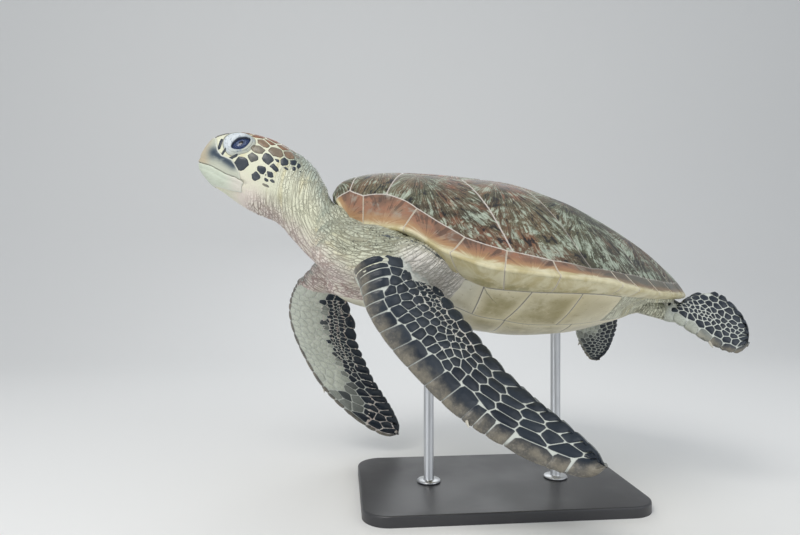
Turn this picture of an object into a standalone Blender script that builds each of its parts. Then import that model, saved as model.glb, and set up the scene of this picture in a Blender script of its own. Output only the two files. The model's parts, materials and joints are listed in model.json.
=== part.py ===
"""Green sea turtle, a life-size display model swimming on a plain stand.

The turtle is modelled in its shell's own frame and hung from an empty: x runs back along the
shell from 0 at the nuchal's front edge to 1 at the tail end, y from the midline (the left side
is -y) and z up from the plane of the shell's margin, all in shell lengths. The empty sets
the nose-up trim and the height over the stand. World units are metres, +Z up, and the origin is
the centre of the stand base's underside.
"""
import math

import bmesh
import bpy
from mathutils import Euler, Matrix, Vector

# ------------------------------------------------------------------ driving dimensions
SHELL = 0.65             # straight carapace length
TRIM = math.radians(5.25)    # nose-up angle of the shell
MARGIN_HEIGHT = 0.415    # height of the nuchal's margin plane over the floor
BALANCE = 0.45           # place along the shell that stands over the middle of the base
PLATE = 0.010            # plate thickness, in shell lengths
FIT = 0.0004 / SHELL     # clearance between pieces that meet
SEAM = 0.0005 / SHELL    # width of the cut between two scutes
EYE_RADIUS = 0.027
BASE_SIZE = (0.48, 0.30, 0.018)
ROD_RADIUS = 0.009
ROD_PLACES = (0.27, 0.63)    # along the shell

# ------------------------------------------------------------------ the shell's curves
# each is (place along the shell, value)
HALF_WIDTH = ((-.010, .045), (0, .078), (.02, .120), (.06, .185), (.12, .253), (.20, .320), (.30, .371),
              (.40, .392), (.50, .393), (.60, .376), (.70, .336), (.80, .266), (.88, .190), (.95, .108),
              (1, .030))
RIDGE = ((-.010, .178), (0, .199), (.02, .217), (.053, .231), (.10, .244), (.20, .255), (.30, .2585),
         (.43, .256), (.60, .223), (.72, .177), (.78, .149), (.854, .110), (.904, .077), (.968, .032),
         (1, .004))
MARGIN = ((-.010, .171), (0, .157), (.05, .092), (.10, .088), (.16, .085), (.26, .038), (.375, .013),
          (.50, .010), (.60, .008), (.70, -.002), (.80, -.008), (1, -.007))
DOME_POWER = ((0, 1.08), (.12, 1.15), (.20, 1.28), (.35, 1.42), (.65, 1.34), (.90, 1.10), (1, 1))
LIP_DROP = ((-.010, .010), (.10, .004), (.18, .006), (.24, .022), (.30, .042), (.36, .050), (.60, .036),
            (.75, .022), (1, .014))
KEEL = ((.010, -.076), (.024, -.094), (.062, -.112), (.11, -.122), (.20, -.132), (.30, -.146),
        (.39, -.156), (.47, -.160), (.61, -.146), (.75, -.104), (.86, -.055), (.93, -.032), (1, -.024))
BELLY_WIDTH = ((0, .160), (.10, .205), (.20, .262), (.30, .300), (.36, .318))
BELLY_TOP = ((0, -.030), (.10, -.030), (.20, -.026), (.30, -.026))

# where the seams meet, (x, half y): along the marginals' inner seam, then between the other scutes
INNER_SEAM = ((.034, .082), (.068, .130), (.124, .167), (.195, .236), (.302, .303), (.395, .331),
              (.409, .332), (.498, .345), (.590, .340), (.605, .337), (.690, .298), (.745, .266),
              (.770, .250), (.840, .197), (.870, .168), (.900, .136), (.945, .076), (.968, .0))
NUCHAL_FRONT = (0, .078)
V_FRONT = ((.054, 0), (.170, .052), (.385, .046), (.580, .042), (.765, .032))
V_SIDE = ((.322, .088), (.490, .086), (.680, .076))
COSTAL_FOOT = ((.409, .332), (.590, .340), (.745, .266))
COSTAL_BOW = ((.370, .213), (.548, .222), (.722, .178))
MARGIN_CUTS = (((.302, .303), (.265, .358)), ((.690, .298), (.716, .329)))

# the plastron's outline and cross seams
PLASTRON_EDGE = ((.014, .0), (.020, .045), (.048, .095), (.130, .135), (.200, .165), (.272, .212),
                 (.300, .228), (.430, .236), (.600, .226), (.680, .205), (.740, .165), (.800, .118),
                 (.870, .070), (.900, .035), (.908, .0))
PLASTRON_SEAMS = (("plastron_gular", .010, .130), ("plastron_humeral", .130, .272),
                  ("plastron_pectoral", .272, .430), ("plastron_abdominal", .430, .600),
                  ("plastron_femoral", .600, .800), ("plastron_anal", .800, .920))

STATIONS = (-.010, .004, .03, .06, .10, .15, .21, .28, .36, .44, .53, .62, .71, .79, .86, .915, .96, .985, 1)
CROSSWISE = (0, .18, .36, .54, .70, .84, .94, 1)

# ------------------------------------------------------------------ flesh
# head and neck sections: (top x, z), (bottom x, z), half width
HEAD = (((-.3690, .232), (-.3680, .206), .010), ((-.360, .258), (-.353, .187), .028),
        ((-.338, .290), (-.330, .168), .043), ((-.302, .309), (-.292, .146), .056),
        ((-.262, .3165), (-.250, .121), .066), ((-.218, .314), (-.208, .104), .073),
        ((-.175, .303), (-.178, .095), .077), ((-.138, .286), (-.154, .088), .078))
NECK = (((-.138, .286), (-.154, .088), .078), ((-.097, .266), (-.126, .066), .081),
        ((-.060, .236), (-.098, .040), .090), ((-.031, .190), (-.062, .008), .108),
        ((-.012, .152), (-.024, -.026), .130), ((.020, .126), (.016, -.062), .146))
MOUTH = ((-.42, .2275), (-.212, .1705), (-.214, .150), (-.250, .100), (-.36, .08))
EYE = (-.254, .0335, .270)

# limbs: leading edge, trailing edge and thickness at matching stations, and where the upper part ends
FRONT_LEFT = (
    ((.026, -.13, .010), (.028, -.22, .014), (.046, -.300, .006), (.074, -.342, -.044),
     (.096, -.362, -.105), (.138, -.380, -.164), (.205, -.402, -.230), (.290, -.428, -.298),
     (.380, -.452, -.345), (.470, -.474, -.380), (.540, -.494, -.390), (.583, -.512, -.374)),
    ((.226, -.13, .004), (.222, -.20, .008), (.212, -.258, -.002), (.220, -.274, -.024),
     (.260, -.280, -.050), (.300, -.290, -.088), (.346, -.305, -.140), (.405, -.337, -.206),
     (.470, -.382, -.262), (.530, -.422, -.303), (.575, -.460, -.338), (.592, -.490, -.360)),
    (.130, .126, .115, .095, .080, .062, .046, .036, .028, .021, .015, .009), 3)
FRONT_RIGHT = (
    ((-.010, .12, .030), (-.028, .18, .010), (-.064, .222, -.040), (-.104, .243, -.092),
     (-.116, .256, -.160), (-.100, .268, -.228), (-.060, .285, -.308), (.002, .300, -.398),
     (.080, .317, -.472), (.160, .331, -.527), (.218, .343, -.554), (.258, .354, -.560)),
    ((.160, .12, -.010), (.130, .18, -.040), (.085, .228, -.078), (.062, .250, -.118),
     (.090, .270, -.190), (.103, .287, -.250), (.134, .303, -.310), (.166, .318, -.368),
     (.205, .333, -.420), (.241, .346, -.470), (.266, .358, -.515), (.276, .362, -.545)),
    (.150, .130, .105, .085, .068, .055, .044, .036, .028, .021, .015, .009), 3)
REAR_LEFT = (
    ((.790, -.145, -.050), (.840, -.155, -.058), (.880, -.160, -.068), (.914, -.163, -.086),
     (.966, -.182, -.117), (1.020, -.198, -.141), (1.062, -.204, -.144)),
    ((.830, -.070, -.044), (.880, -.080, -.050), (.930, -.096, -.050), (.976, -.112, -.002),
     (1.034, -.130, .004), (1.083, -.158, -.046), (1.098, -.182, -.100)),
    (.036, .040, .040, .034, .026, .018, .009), 3)
REAR_RIGHT = (
    ((.745, .150, -.040), (.752, .172, -.080), (.770, .190, -.126), (.795, .216, -.168),
     (.820, .238, -.200), (.848, .257, -.229), (.870, .265, -.247)),
    ((.866, .105, -.035), (.876, .125, -.062), (.885, .140, -.092), (.893, .155, -.126),
     (.897, .180, -.162), (.897, .207, -.200), (.890, .236, -.235)),
    (.055, .058, .050, .040, .028, .018, .009), 3)
CLAW = (.019, .0052, .0045)    # a claw's length, its root's half width and how deep the root starts
CLAWS = (("claw_front_left", FRONT_LEFT, 7.25), ("claw_front_right", FRONT_RIGHT, 7.12),
         ("claw_rear_left", REAR_LEFT, 4.3), ("claw_rear_right", REAR_RIGHT, 3.6))
VENT_DROP = .040         # how far the flesh round the vent hangs below the plastron's line
TAIL = ((.9500, -.044, .0195), (.985, -.048, .018), (1.02, -.056, .012), (1.046, -.064, .004))
FOIL = ((0, 0), (.07, .62), (.25, 1), (.55, .82), (.82, .38), (1, 0))   # blade section: chord, thickness

COLOURS = {
    "scute": ((.20, .13, .07), .40), "marginal": ((.36, .24, .12), .42), "plastron": ((.62, .55, .36), .45),
    "skin": ((.55, .53, .44), .60), "flipper": ((.12, .11, .10), .50), "head": ((.50, .48, .38), .50),
    "beak": ((.60, .54, .40), .45), "claw": ((.70, .68, .62), .35), "eye": ((.01, .015, .03), .08),
    "stand": ((.05, .05, .055), .45), "rod": ((.45, .46, .48), .30)}


# ------------------------------------------------------------------ helpers
def curve(knots, x):
    """Smooth value at x of a curve through (x, value) knots."""
    if x <= knots[0][0]:
        return knots[0][1]
    if x >= knots[-1][0]:
        return knots[-1][1]
    i = max(k for k in range(len(knots) - 1) if knots[k][0] <= x)
    (x0, v0), (x1, v1) = knots[i], knots[i + 1]
    step = (v1 - v0) / (x1 - x0)
    before = (v0 - knots[i - 1][1]) / (x0 - knots[i - 1][0]) if i else step
    after = (knots[i + 2][1] - v1) / (knots[i + 2][0] - x1) if i + 2 < len(knots) else step
    m0 = 0 if before * step <= 0 else 2 * before * step / (before + step)
    m1 = 0 if after * step <= 0 else 2 * after * step / (after + step)
    d, t = x1 - x0, (x - x0) / (x1 - x0)
    return ((1 + 2 * t) * (1 - t) ** 2 * v0 + t * (1 - t) ** 2 * d * m0
            + t * t * (3 - 2 * t) * v1 - t * t * (1 - t) * d * m1)


def seam_width(x):
    """Half width of the marginals' inner seam, kept inside the rim."""
    return max(.004, min(curve(((-.010, .040), (0, .070)) + INNER_SEAM, x), curve(HALF_WIDTH, x) - .012))


def dome(x, y):
    """Height of the carapace's outer face."""
    t = min(1, abs(y) / curve(HALF_WIDTH, x))
    edge = curve(MARGIN, x)
    return edge + (curve(RIDGE, x) - edge) * (1 - t * t) ** curve(DOME_POWER, x)


def lip(x):
    """Height of the lower face of the marginals at their inner edge."""
    return curve(MARGIN, x) - curve(LIP_DROP, x)


def belly_span(x):
    """Half width and height where the belly's curve ends: the bridge's top, or free flesh."""
    if x >= .36:
        return seam_width(x) + .003, lip(x)
    blend = min(1, max(0, (x - .28) / .08))
    width = curve(BELLY_WIDTH, x) * (1 - blend) + (seam_width(x) + .003) * blend
    return width, curve(BELLY_TOP, x) * (1 - blend) + lip(x) * blend


def belly(x, y, inset=0):
    """Height of the plastron's outer face, or of one parallel to it inside."""
    half, top = belly_span(x)
    keel = curve(KEEL, x)
    t = min(1, abs(y) / half)
    slope = 2.7 * (top - keel) * t ** 1.7 / half
    return keel + (top - keel) * t ** 2.7 + inset * math.sqrt(1 + slope * slope)


def collection(name):
    group = bpy.data.collections.new(name)
    bpy.context.scene.collection.children.link(group)
    return group


def material(name):
    (r, g, b), rough = COLOURS[name]
    mat = bpy.data.materials.get(name) or bpy.data.materials.new(name)
    mat.use_nodes = True
    shader = mat.node_tree.nodes["Principled BSDF"]
    shader.inputs["Base Color"].default_value = (r, g, b, 1)
    shader.inputs["Roughness"].default_value = rough
    shader.inputs["Metallic"].default_value = 1 if name == "rod" else 0
    mat.diffuse_color = (r, g, b, 1)
    return mat


def finish(bm, name, look=None, parent=None):
    """Make an object of a bmesh: a part with its look, or a cutter where it has none."""
    bmesh.ops.recalc_face_normals(bm, faces=bm.faces)
    mesh = bpy.data.meshes.new(name)
    bm.to_mesh(mesh)
    bm.free()
    mesh.shade_smooth()
    mesh.set_sharp_from_angle(angle=math.radians(40))
    obj = bpy.data.objects.new(name, mesh)
    (turtle_parts if look else cutters).objects.link(obj)
    if look:
        mesh.materials.append(material(look))
    else:
        obj.hide_render = True
        obj.display_type = "WIRE"
    obj.parent = parent
    return obj


def loft(rings):
    """Closed body through rings of points in order, all with the same count."""
    bm = bmesh.new()
    loops = [[bm.verts.new(Vector(p) * SHELL) for p in ring] for ring in rings]
    for a, b in zip(loops, loops[1:]):
        for i in range(len(a)):
            j = (i + 1) % len(a)
            bm.faces.new((a[i], a[j], b[j]))
            bm.faces.new((a[i], b[j], b[i]))
    bm.faces.new(reversed(loops[0]))
    bm.faces.new(loops[-1])
    return bm


def swollen(bm, distance):
    """The same body with its surface moved outwards."""
    bmesh.ops.recalc_face_normals(bm, faces=bm.faces)
    bm.normal_update()
    shifts = [(v, v.normal * distance * SHELL) for v in bm.verts]
    for v, shift in shifts:
        v.co += shift
    return bm


def mirrored(half):
    """A ring from its left half, which runs from midline to midline."""
    return [(x, -y, z) for x, y, z in half] + [(x, y, z) for x, y, z in reversed(half[1:-1])]


def drawn_in(outline, distance):
    """A flat outline moved inwards by a distance, or outwards by a negative one."""
    pts = [Vector(p) for p in outline]
    if sum(a.x * b.y - b.x * a.y for a, b in zip(pts, pts[1:] + pts[:1])) < 0:
        pts.reverse()
    moved = []
    for before, here, after in zip(pts[-1:] + pts[:-1], pts, pts[1:] + pts[:1]):
        n1 = Vector((before.y - here.y, here.x - before.x)).normalized()
        n2 = Vector((here.y - after.y, after.x - here.x)).normalized()
        mid = (n1 + n2).normalized()
        moved.append(here + mid * distance / max(.3, mid.dot(n1)))
    return moved


def extruded(name, corners, along):
    """Cutter: a flat face through the corners, drawn out along a vector."""
    bm = bmesh.new()
    face = bm.faces.new([bm.verts.new(Vector(c) * SHELL) for c in corners])
    far = bmesh.ops.extrude_face_region(bm, geom=[face])["geom"]
    bmesh.ops.translate(bm, verts=[v for v in far if isinstance(v, bmesh.types.BMVert)],
                        vec=Vector(along) * SHELL)
    return finish(bm, name + "_cut", parent=turtle)


def upright(name, outline, low, high, inset=SEAM / 2):
    """Cutter over a plan outline of (x, y), for a scute drawn in by half a seam's width."""
    corners = [(p.x, p.y, low) for p in drawn_in(outline, inset)]
    return extruded(name, corners, (0, 0, high - low))


def crosswise(name, profile, half, inset=0):
    """Cutter with a side profile of (x, z)."""
    corners = [(p.x, -half, p.y) for p in drawn_in(profile, inset)]
    return extruded(name, corners, (0, 2 * half, 0))


def boolean(obj, cutter, operation):
    mod = obj.modifiers.new(cutter.name, "BOOLEAN")
    mod.operation = operation
    mod.solver = "EXACT"
    mod.object = cutter
    return mod


def side(points, hand):
    return [(x, y * hand) for x, y in points]


def between(x0, x1):
    """The junctions of the marginals' inner seam from one place to another."""
    return [p for p in INNER_SEAM if x0 - 1e-6 <= p[0] <= x1 + 1e-6]


# ------------------------------------------------------------------ carapace
def carapace_blank(name, grow=0):
    """The whole carapace in one: a lens with its rim and lower lip, hollowed by the body's core."""
    rings = []
    for x in STATIONS:
        w, edge = curve(HALF_WIDTH, x), curve(MARGIN, x)
        half = [(x, w * t, dome(x, w * t) + grow) for t in CROSSWISE]
        half.append((x, w - .004 + grow, edge - .010 - grow))
        half.append((x, seam_width(x) + .003, lip(x) - grow))
        half.append((x, 0, lip(x) - grow))
        rings.append(mirrored(half))
    blank = finish(loft(rings), name, parent=turtle)
    boolean(blank, finish(core(grow), name + "_core", parent=turtle), "DIFFERENCE")
    return blank


def core(shrink):
    """The room under the carapace's plates, run out at the front and below."""
    rings = []
    for x in STATIONS[:-3] + (.950,):
        y_side = seam_width(x) + .003 - shrink
        half = [(x, y_side * k / 6, dome(x, y_side * k / 6) - PLATE - shrink) for k in range(7)]
        half += [(x, y_side, lip(x) - .05), (x, 0, lip(x) - .05)]
        rings.append(mirrored(half))
    front = [(-.04, y, z) for x, y, z in rings[0]]
    return loft([front] + rings)


def plate(name, blank, outline, look, low=-.12, high=.4):
    """One scute: the part of a blank inside the scute's outline."""
    obj = bpy.data.objects.new(name, blank.copy())
    turtle_parts.objects.link(obj)
    obj.parent = turtle
    obj.data.materials.clear()
    obj.data.materials.append(material(look))
    boolean(obj, upright(name, outline, low, high), "INTERSECT")


def baked(obj):
    """The mesh of an object with its modifiers applied."""
    bpy.context.view_layer.update()
    graph = bpy.context.evaluated_depsgraph_get()
    mesh = bpy.data.meshes.new_from_object(obj.evaluated_get(graph))
    obj.modifiers.clear()
    return mesh


def carapace(blank):
    m = INNER_SEAM
    plate("nuchal", blank, side((V_FRONT[0], m[0], NUCHAL_FRONT, (-.06, .070)), 1)
          + side(((-.06, .070), NUCHAL_FRONT, m[0]), -1), "scute")
    for n in range(5):
        left = [V_FRONT[n]] if n else [V_FRONT[0], m[0], m[1], m[2]]
        if 0 < n < 4:
            left.append(V_SIDE[n - 1])
        left += [V_FRONT[n + 1]] if n < 4 else between(.870, .968)
        ring = side(left, 1) + side(reversed(left), -1)
        ring = [p for i, p in enumerate(ring) if p != ring[i - 1]]
        plate("vertebral_%d" % (n + 1), blank, ring, "scute")
    for hand, word in ((-1, "left"), (1, "right")):
        tops = (m[2],) + V_SIDE + ((.870, .168),)
        feet = (m[2],) + COSTAL_FOOT + ((.870, .168),)
        for n in range(4):
            ring = [V_FRONT[n + 1], tops[n]] if n else [V_FRONT[1], m[2]]
            if n:
                ring += [COSTAL_BOW[n - 1], feet[n]]
            ring += [p for p in between(feet[n][0], feet[n + 1][0]) if p not in ring]
            if n < 3:
                ring += [COSTAL_BOW[n], V_SIDE[n]]
            plate("costal_%s_%d" % (word, n + 1), blank, side(ring, hand), "scute")
        (a_in, a_out), (b_in, b_out) = MARGIN_CUTS
        far_a = (a_out[0] - .03, a_out[1] + .05)
        far_b = (b_out[0] + .03, b_out[1] + .05)
        front = [NUCHAL_FRONT] + between(.034, .302) + [a_out, far_a, (.05, .36), (-.06, .20), (-.06, .070)]
        bridge = between(.302, .690) + [b_out, far_b, (.50, .46), far_a, a_out]
        rear = between(.690, .968) + [(1.04, 0), (1.04, .12), (.90, .28), far_b, b_out]
        plate("marginals_%s_front" % word, blank, side(front, hand), "marginal")
        plate("marginals_%s_bridge" % word, blank, side(bridge, hand), "marginal")
        plate("marginals_%s_rear" % word, blank, side(rear, hand), "marginal")


# ------------------------------------------------------------------ plastron
def plastron_blank(grow=0):
    """The plastron and the bridges in one, open to the sides in front and behind."""
    rings = []
    for x in (.012,) + STATIONS[2:-3] + (.945,):
        half = belly_span(x)[0] - .006
        outer = [(x, half * t, belly(x, half * t, -grow)) for t in (0, .25, .45, .62, .78, .9, 1)]
        inner = [(x, y * (1 - PLATE), belly(x, y, PLATE + grow)) for x, y, z in reversed(outer)]
        rings.append(mirrored(outer + inner))
    return loft(rings)


def belly_block():
    """Everything above the plastron's outer face, for what stops against it."""
    rings = []
    for x in STATIONS[1:-3]:
        half = belly_span(x)[0] * .9
        ring = [(x, half * t, belly(x, half * t, -FIT)) for t in (0, .28, .5, .69, .87, 1)]
        rings.append(mirrored(ring + [(x, half, .2), (x, 0, .2)]))
    return loft(rings)


def plastron(blank):
    for name, x0, x1 in PLASTRON_SEAMS:
        inside = [p for p in PLASTRON_EDGE if x0 - 1e-6 <= p[0] <= x1 + 1e-6]
        ring = side(inside, 1) + side([p for p in reversed(inside) if p[1]], -1)
        plate(name, blank, ring, "plastron", -.25, .12)
    seam = [p for p in PLASTRON_EDGE if .26 <= p[0] <= .69]
    outer = [(x, y - .004) for x, y in between(.302, .690)]
    for hand, word in ((-1, "left"), (1, "right")):
        plate("bridge_" + word, blank, side(seam + outer[::-1], hand), "plastron", -.25, .12)


def plastron_clearance():
    """The plastron and bridges as one piece, a fit's width larger all round."""
    grown = finish(plastron_blank(FIT), "plastron_clearance", parent=turtle)
    half = [p for p in PLASTRON_EDGE if p[0] < .27] + between(.302, .690)
    half += [p for p in PLASTRON_EDGE if p[0] > .70]
    outline = side(half, 1) + side([p for p in reversed(half) if p[1]], -1)
    boolean(grown, upright("plastron_outline", outline, -.25, .12, -FIT), "INTERSECT")
    return grown


# ------------------------------------------------------------------ body, head, limbs
def trunk():
    """The body inside the shell, bare between the plates in front of and behind the bridge."""
    rings = []
    inset = PLATE + FIT * 4
    for x in STATIONS[1:-3] + (.950,):
        y_side = seam_width(x) + .003 - FIT * 2
        half = [(x, y_side * k / 6, dome(x, y_side * k / 6) - inset) for k in range(7)]
        span, top = belly_span(x)
        tight = seam_width(x) - PLATE * 1.6
        if .27 < x < .72:
            half += [(x, y_side, lip(x) + .020), (x, tight, lip(x) + .012)]
        else:
            bare = min(span, curve(HALF_WIDTH, x) - .03)
            half += [(x, y_side, lip(x) - FIT * 2), (x, bare, (lip(x) * 2 + top) / 3 - .012)]
        for t, lift in ((.86, .5), (.70, .1), (.50, 0), (.25, 0), (0, 0)):
            z = belly(x, span * t, inset)
            if x > .90:
                z -= VENT_DROP * (1 - t * t)
            if x < .26 or x > .72:
                z += lift * .3 * max(0, half[8][2] - z)
            half.append((x, span * t * (1 - PLATE), z))
        rings.append(mirrored(half))
    rings[-1] = [(x - FIT * 2, y, z) for x, y, z in rings[-1]]
    return loft(rings)


def oval(top, bottom, half, count=16, square=2.3):
    """Ring in the plane through two points of the midline, rounded like a soft square."""
    ring = []
    for k in range(count):
        a = 2 * math.pi * (k + .5) / count
        c, s = math.cos(a), math.sin(a)
        up = (math.copysign(abs(c) ** (2 / square), c) + 1) / 2
        out = math.copysign(abs(s) ** (2 / square), s)
        ring.append((bottom[0] + (top[0] - bottom[0]) * up, half * out,
                     bottom[1] + (top[1] - bottom[1]) * up))
    return ring


def neck_form():
    shift = FIT * .8
    return loft([oval((t[0] + shift, t[1] - shift), (b[0] + shift, b[1] - shift), h) for t, b, h in NECK])


def head_and_neck():
    head = finish(loft([oval(*s) for s in HEAD]), "head", "head", turtle)
    jaw = finish(loft([oval(*s) for s in HEAD]), "lower_jaw", "beak", turtle)
    boolean(jaw, crosswise("mouth", MOUTH, .12), "INTERSECT")
    boolean(head, crosswise("mouth_gap", MOUTH, .13, -FIT), "DIFFERENCE")
    neck = finish(neck_form(), "neck", "skin", turtle)
    for hand, word in ((-1, "left"), (1, "right")):
        place = Vector((EYE[0], EYE[1] * hand, EYE[2])) * SHELL
        for name, radius in (("eye_" + word, EYE_RADIUS), ("socket_" + word, EYE_RADIUS + FIT)):
            bm = bmesh.new()
            bmesh.ops.create_uvsphere(bm, u_segments=12, v_segments=8, radius=radius * SHELL,
                                      matrix=Matrix.Translation(place))
            ball = finish(bm, name, "eye" if name[0] == "e" else None, turtle)
        boolean(head, ball, "DIFFERENCE")
    return neck


def limb_rings(table):
    """Lens-shaped sections between a limb's leading and trailing edges, round near the body."""
    lead, trail, thick, split = table
    lead, trail = [Vector(p) for p in lead], [Vector(p) for p in trail]
    rings = []
    for i, (a, b) in enumerate(zip(lead, trail)):
        lo, hi = max(0, i - 1), min(len(lead) - 1, i + 1)
        span = (lead[hi] + trail[hi] - lead[lo] - trail[lo]).normalized()
        normal = span.cross(b - a).normalized()
        roundness = max(0, 1 - i / (split + .5))
        ring = []
        for face in (1, -1):
            profile = FOIL[:-1] if face > 0 else FOIL[:0:-1]
            for chord, high in profile:
                full = math.sqrt(max(0, 1 - (2 * chord - 1) ** 2))
                high = high + (full - high) * roundness
                ring.append(a.lerp(b, chord) + normal * (face * high * thick[i] / 2))
        rings.append(ring)
    return rings


def limb(upper, blade, table):
    """A limb in two solids, parted where the blade starts."""
    rings, split = limb_rings(table), table[3]
    step = (rings[split + 1][3] - rings[split][3]).length
    joint = [p.lerp(q, FIT / step * 1.3) for p, q in zip(rings[split], rings[split + 1])]
    root = finish(loft(rings[:split + 1]), upper, "skin", turtle)
    end = finish(loft([joint] + rings[split + 1:]), blade, "flipper", turtle)
    return root, end


def claw(name, table, place):
    """Claw that leaves a blade's leading edge and bends towards its tip, its root cut to the skin."""
    lead, trail = [[Vector(p) for p in edge] for edge in table[:2]]
    i, t = int(place), place % 1
    root = lead[i].lerp(lead[i + 1], t)
    along = (lead[i + 1] - lead[i]).normalized()
    inward = trail[i].lerp(trail[i + 1], t) - root
    outward = -(inward - along * inward.dot(along)).normalized()
    normal = along.cross(outward)
    length, half, depth = CLAW
    rings = []
    for share in (0, .35, .7, 1):
        middle = root + outward * (length * (share - .25 * share ** 2) - depth) + along * length * .7 * share
        radius = half * (1 - .92 * share)
        turns = [math.pi * k / 3 for k in range(6)]
        rings.append([middle + (along * math.cos(a) + normal * math.sin(a)) * radius for a in turns])
    form = finish(loft(rings), name, "claw", turtle)
    boolean(form, finish(swollen(loft(limb_rings(table)), FIT), name + "_seat", parent=turtle), "DIFFERENCE")


def tail():
    rings = [oval((x, z + r), (x, z - r), r * 1.1, 10, 2) for x, z, r in TAIL]
    return finish(loft(rings), "tail", "skin", turtle)


# ------------------------------------------------------------------ stand
def stand(above_belly):
    wide, deep, thick = BASE_SIZE
    bm = bmesh.new()
    bmesh.ops.create_cube(bm, size=1)
    bmesh.ops.scale(bm, vec=BASE_SIZE, verts=bm.verts)
    bmesh.ops.translate(bm, vec=(0, 0, thick / 2), verts=bm.verts)
    upright = [e for e in bm.edges if abs(e.verts[0].co.z - e.verts[1].co.z) > thick / 2]
    bmesh.ops.bevel(bm, geom=upright, offset=.045, segments=6, affect="EDGES", profile=.5)
    rim = [e for e in bm.edges if min(v.co.z for v in e.verts) > thick - 1e-5]
    bmesh.ops.bevel(bm, geom=rim, offset=.003, segments=2, affect="EDGES", profile=.5)
    finish(bm, "stand_base", "stand")
    for place, word in zip(ROD_PLACES, ("front", "rear")):
        foot = turtle.matrix_world @ Vector((place * SHELL, 0, 0))
        top = turtle.matrix_world @ Vector((place * SHELL, 0, (curve(KEEL, place) + .05) * SHELL))
        low = thick + .0004
        bm = bmesh.new()
        bmesh.ops.create_cone(bm, cap_ends=True, segments=18, radius1=ROD_RADIUS, radius2=ROD_RADIUS,
                              depth=top.z - low,
                              matrix=Matrix.Translation((foot.x, 0, (top.z + low) / 2)))
        boolean(finish(bm, "stand_rod_" + word, "rod"), above_belly, "DIFFERENCE")


# ------------------------------------------------------------------ build
for old in list(bpy.data.objects):
    bpy.data.objects.remove(old, do_unlink=True)
turtle_parts = collection("green_sea_turtle")
cutters = collection("cutters")

turtle = bpy.data.objects.new("turtle", None)
turtle_parts.objects.link(turtle)
turtle.rotation_euler = Euler((0, TRIM, 0))
turtle.location = (-BALANCE * SHELL * math.cos(TRIM), 0, MARGIN_HEIGHT)
bpy.context.view_layer.update()

carapace(baked(carapace_blank("carapace_form")))
plastron(finish(plastron_blank(), "plastron_form", parent=turtle).data)
body = finish(trunk(), "trunk", "skin", turtle)
flesh = [head_and_neck(), tail()]
flesh += limb("upper_arm_left", "flipper_front_left", FRONT_LEFT)
flesh += limb("upper_arm_right", "flipper_front_right", FRONT_RIGHT)
flesh += limb("thigh_left", "flipper_rear_left", REAR_LEFT)
flesh += limb("thigh_right", "flipper_rear_right", REAR_RIGHT)
for name, table, place in CLAWS:
    claw(name, table, place)
around_trunk = finish(swollen(trunk(), FIT * 1.6), "trunk_clearance", parent=turtle)
around_neck = finish(swollen(neck_form(), FIT * 1.6), "neck_clearance", parent=turtle)
around_carapace = carapace_blank("carapace_clearance", FIT)
around_plastron = plastron_clearance()
for piece in [body] + flesh:
    if piece is not body:
        boolean(piece, around_trunk, "DIFFERENCE")
    if piece.name.startswith("upper_arm"):
        boolean(piece, around_neck, "DIFFERENCE")
    if piece.name not in ("neck", "tail"):
        boolean(piece, around_carapace, "DIFFERENCE")
    boolean(piece, around_plastron, "DIFFERENCE")

stand(finish(belly_block(), "belly_block", parent=turtle))
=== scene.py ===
"""Green sea turtle, a life-size display model: the finish of its shell, skin, scales and stand.

Shapes are worked out in the shell's own frame, in shell lengths: x runs back along the shell
from its front edge, y from the midline (the left side is -y) and z up from the margin's plane.
"""
import json
import math

import bmesh
import bpy
import numpy as np
from mathutils import Matrix, Vector
from mathutils.bvhtree import BVHTree
from mathutils.kdtree import KDTree

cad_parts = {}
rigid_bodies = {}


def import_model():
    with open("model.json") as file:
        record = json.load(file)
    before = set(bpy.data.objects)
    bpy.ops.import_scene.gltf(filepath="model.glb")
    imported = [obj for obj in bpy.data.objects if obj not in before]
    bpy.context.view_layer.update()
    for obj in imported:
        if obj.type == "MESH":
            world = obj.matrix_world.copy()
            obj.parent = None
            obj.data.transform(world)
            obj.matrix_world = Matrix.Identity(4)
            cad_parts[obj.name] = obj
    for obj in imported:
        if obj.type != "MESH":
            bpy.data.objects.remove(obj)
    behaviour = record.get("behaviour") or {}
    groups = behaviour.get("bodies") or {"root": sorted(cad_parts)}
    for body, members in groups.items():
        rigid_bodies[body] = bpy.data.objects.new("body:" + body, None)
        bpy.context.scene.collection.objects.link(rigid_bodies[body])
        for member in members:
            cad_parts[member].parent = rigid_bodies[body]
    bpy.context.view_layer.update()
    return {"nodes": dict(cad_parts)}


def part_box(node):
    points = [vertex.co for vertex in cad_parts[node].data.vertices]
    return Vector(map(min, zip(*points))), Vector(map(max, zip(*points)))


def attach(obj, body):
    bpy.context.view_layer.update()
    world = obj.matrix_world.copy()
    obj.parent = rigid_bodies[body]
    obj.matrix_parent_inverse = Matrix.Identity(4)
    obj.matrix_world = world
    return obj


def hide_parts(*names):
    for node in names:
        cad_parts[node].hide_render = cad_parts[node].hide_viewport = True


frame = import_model()

# ---------------------------------------------------------------- the room
# The model stands on a plain pale floor that sweeps up behind it. Large soft lamps light it, the
# strong one from the front left. The eye level is that of someone who crouches beside the stand.
EYE_POINT = (-.2750, -1.0985, .4007)
EYE_TURN = math.radians(-5.55)
LENS = 27.9
FLOOR_HALF, SWEEP_START, SWEEP_RADIUS, SWEEP_HEIGHT = 7.0, 1.5, 1.5, 4.5
FLOOR_TONE = (.80, .80, .79, 1)
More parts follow.
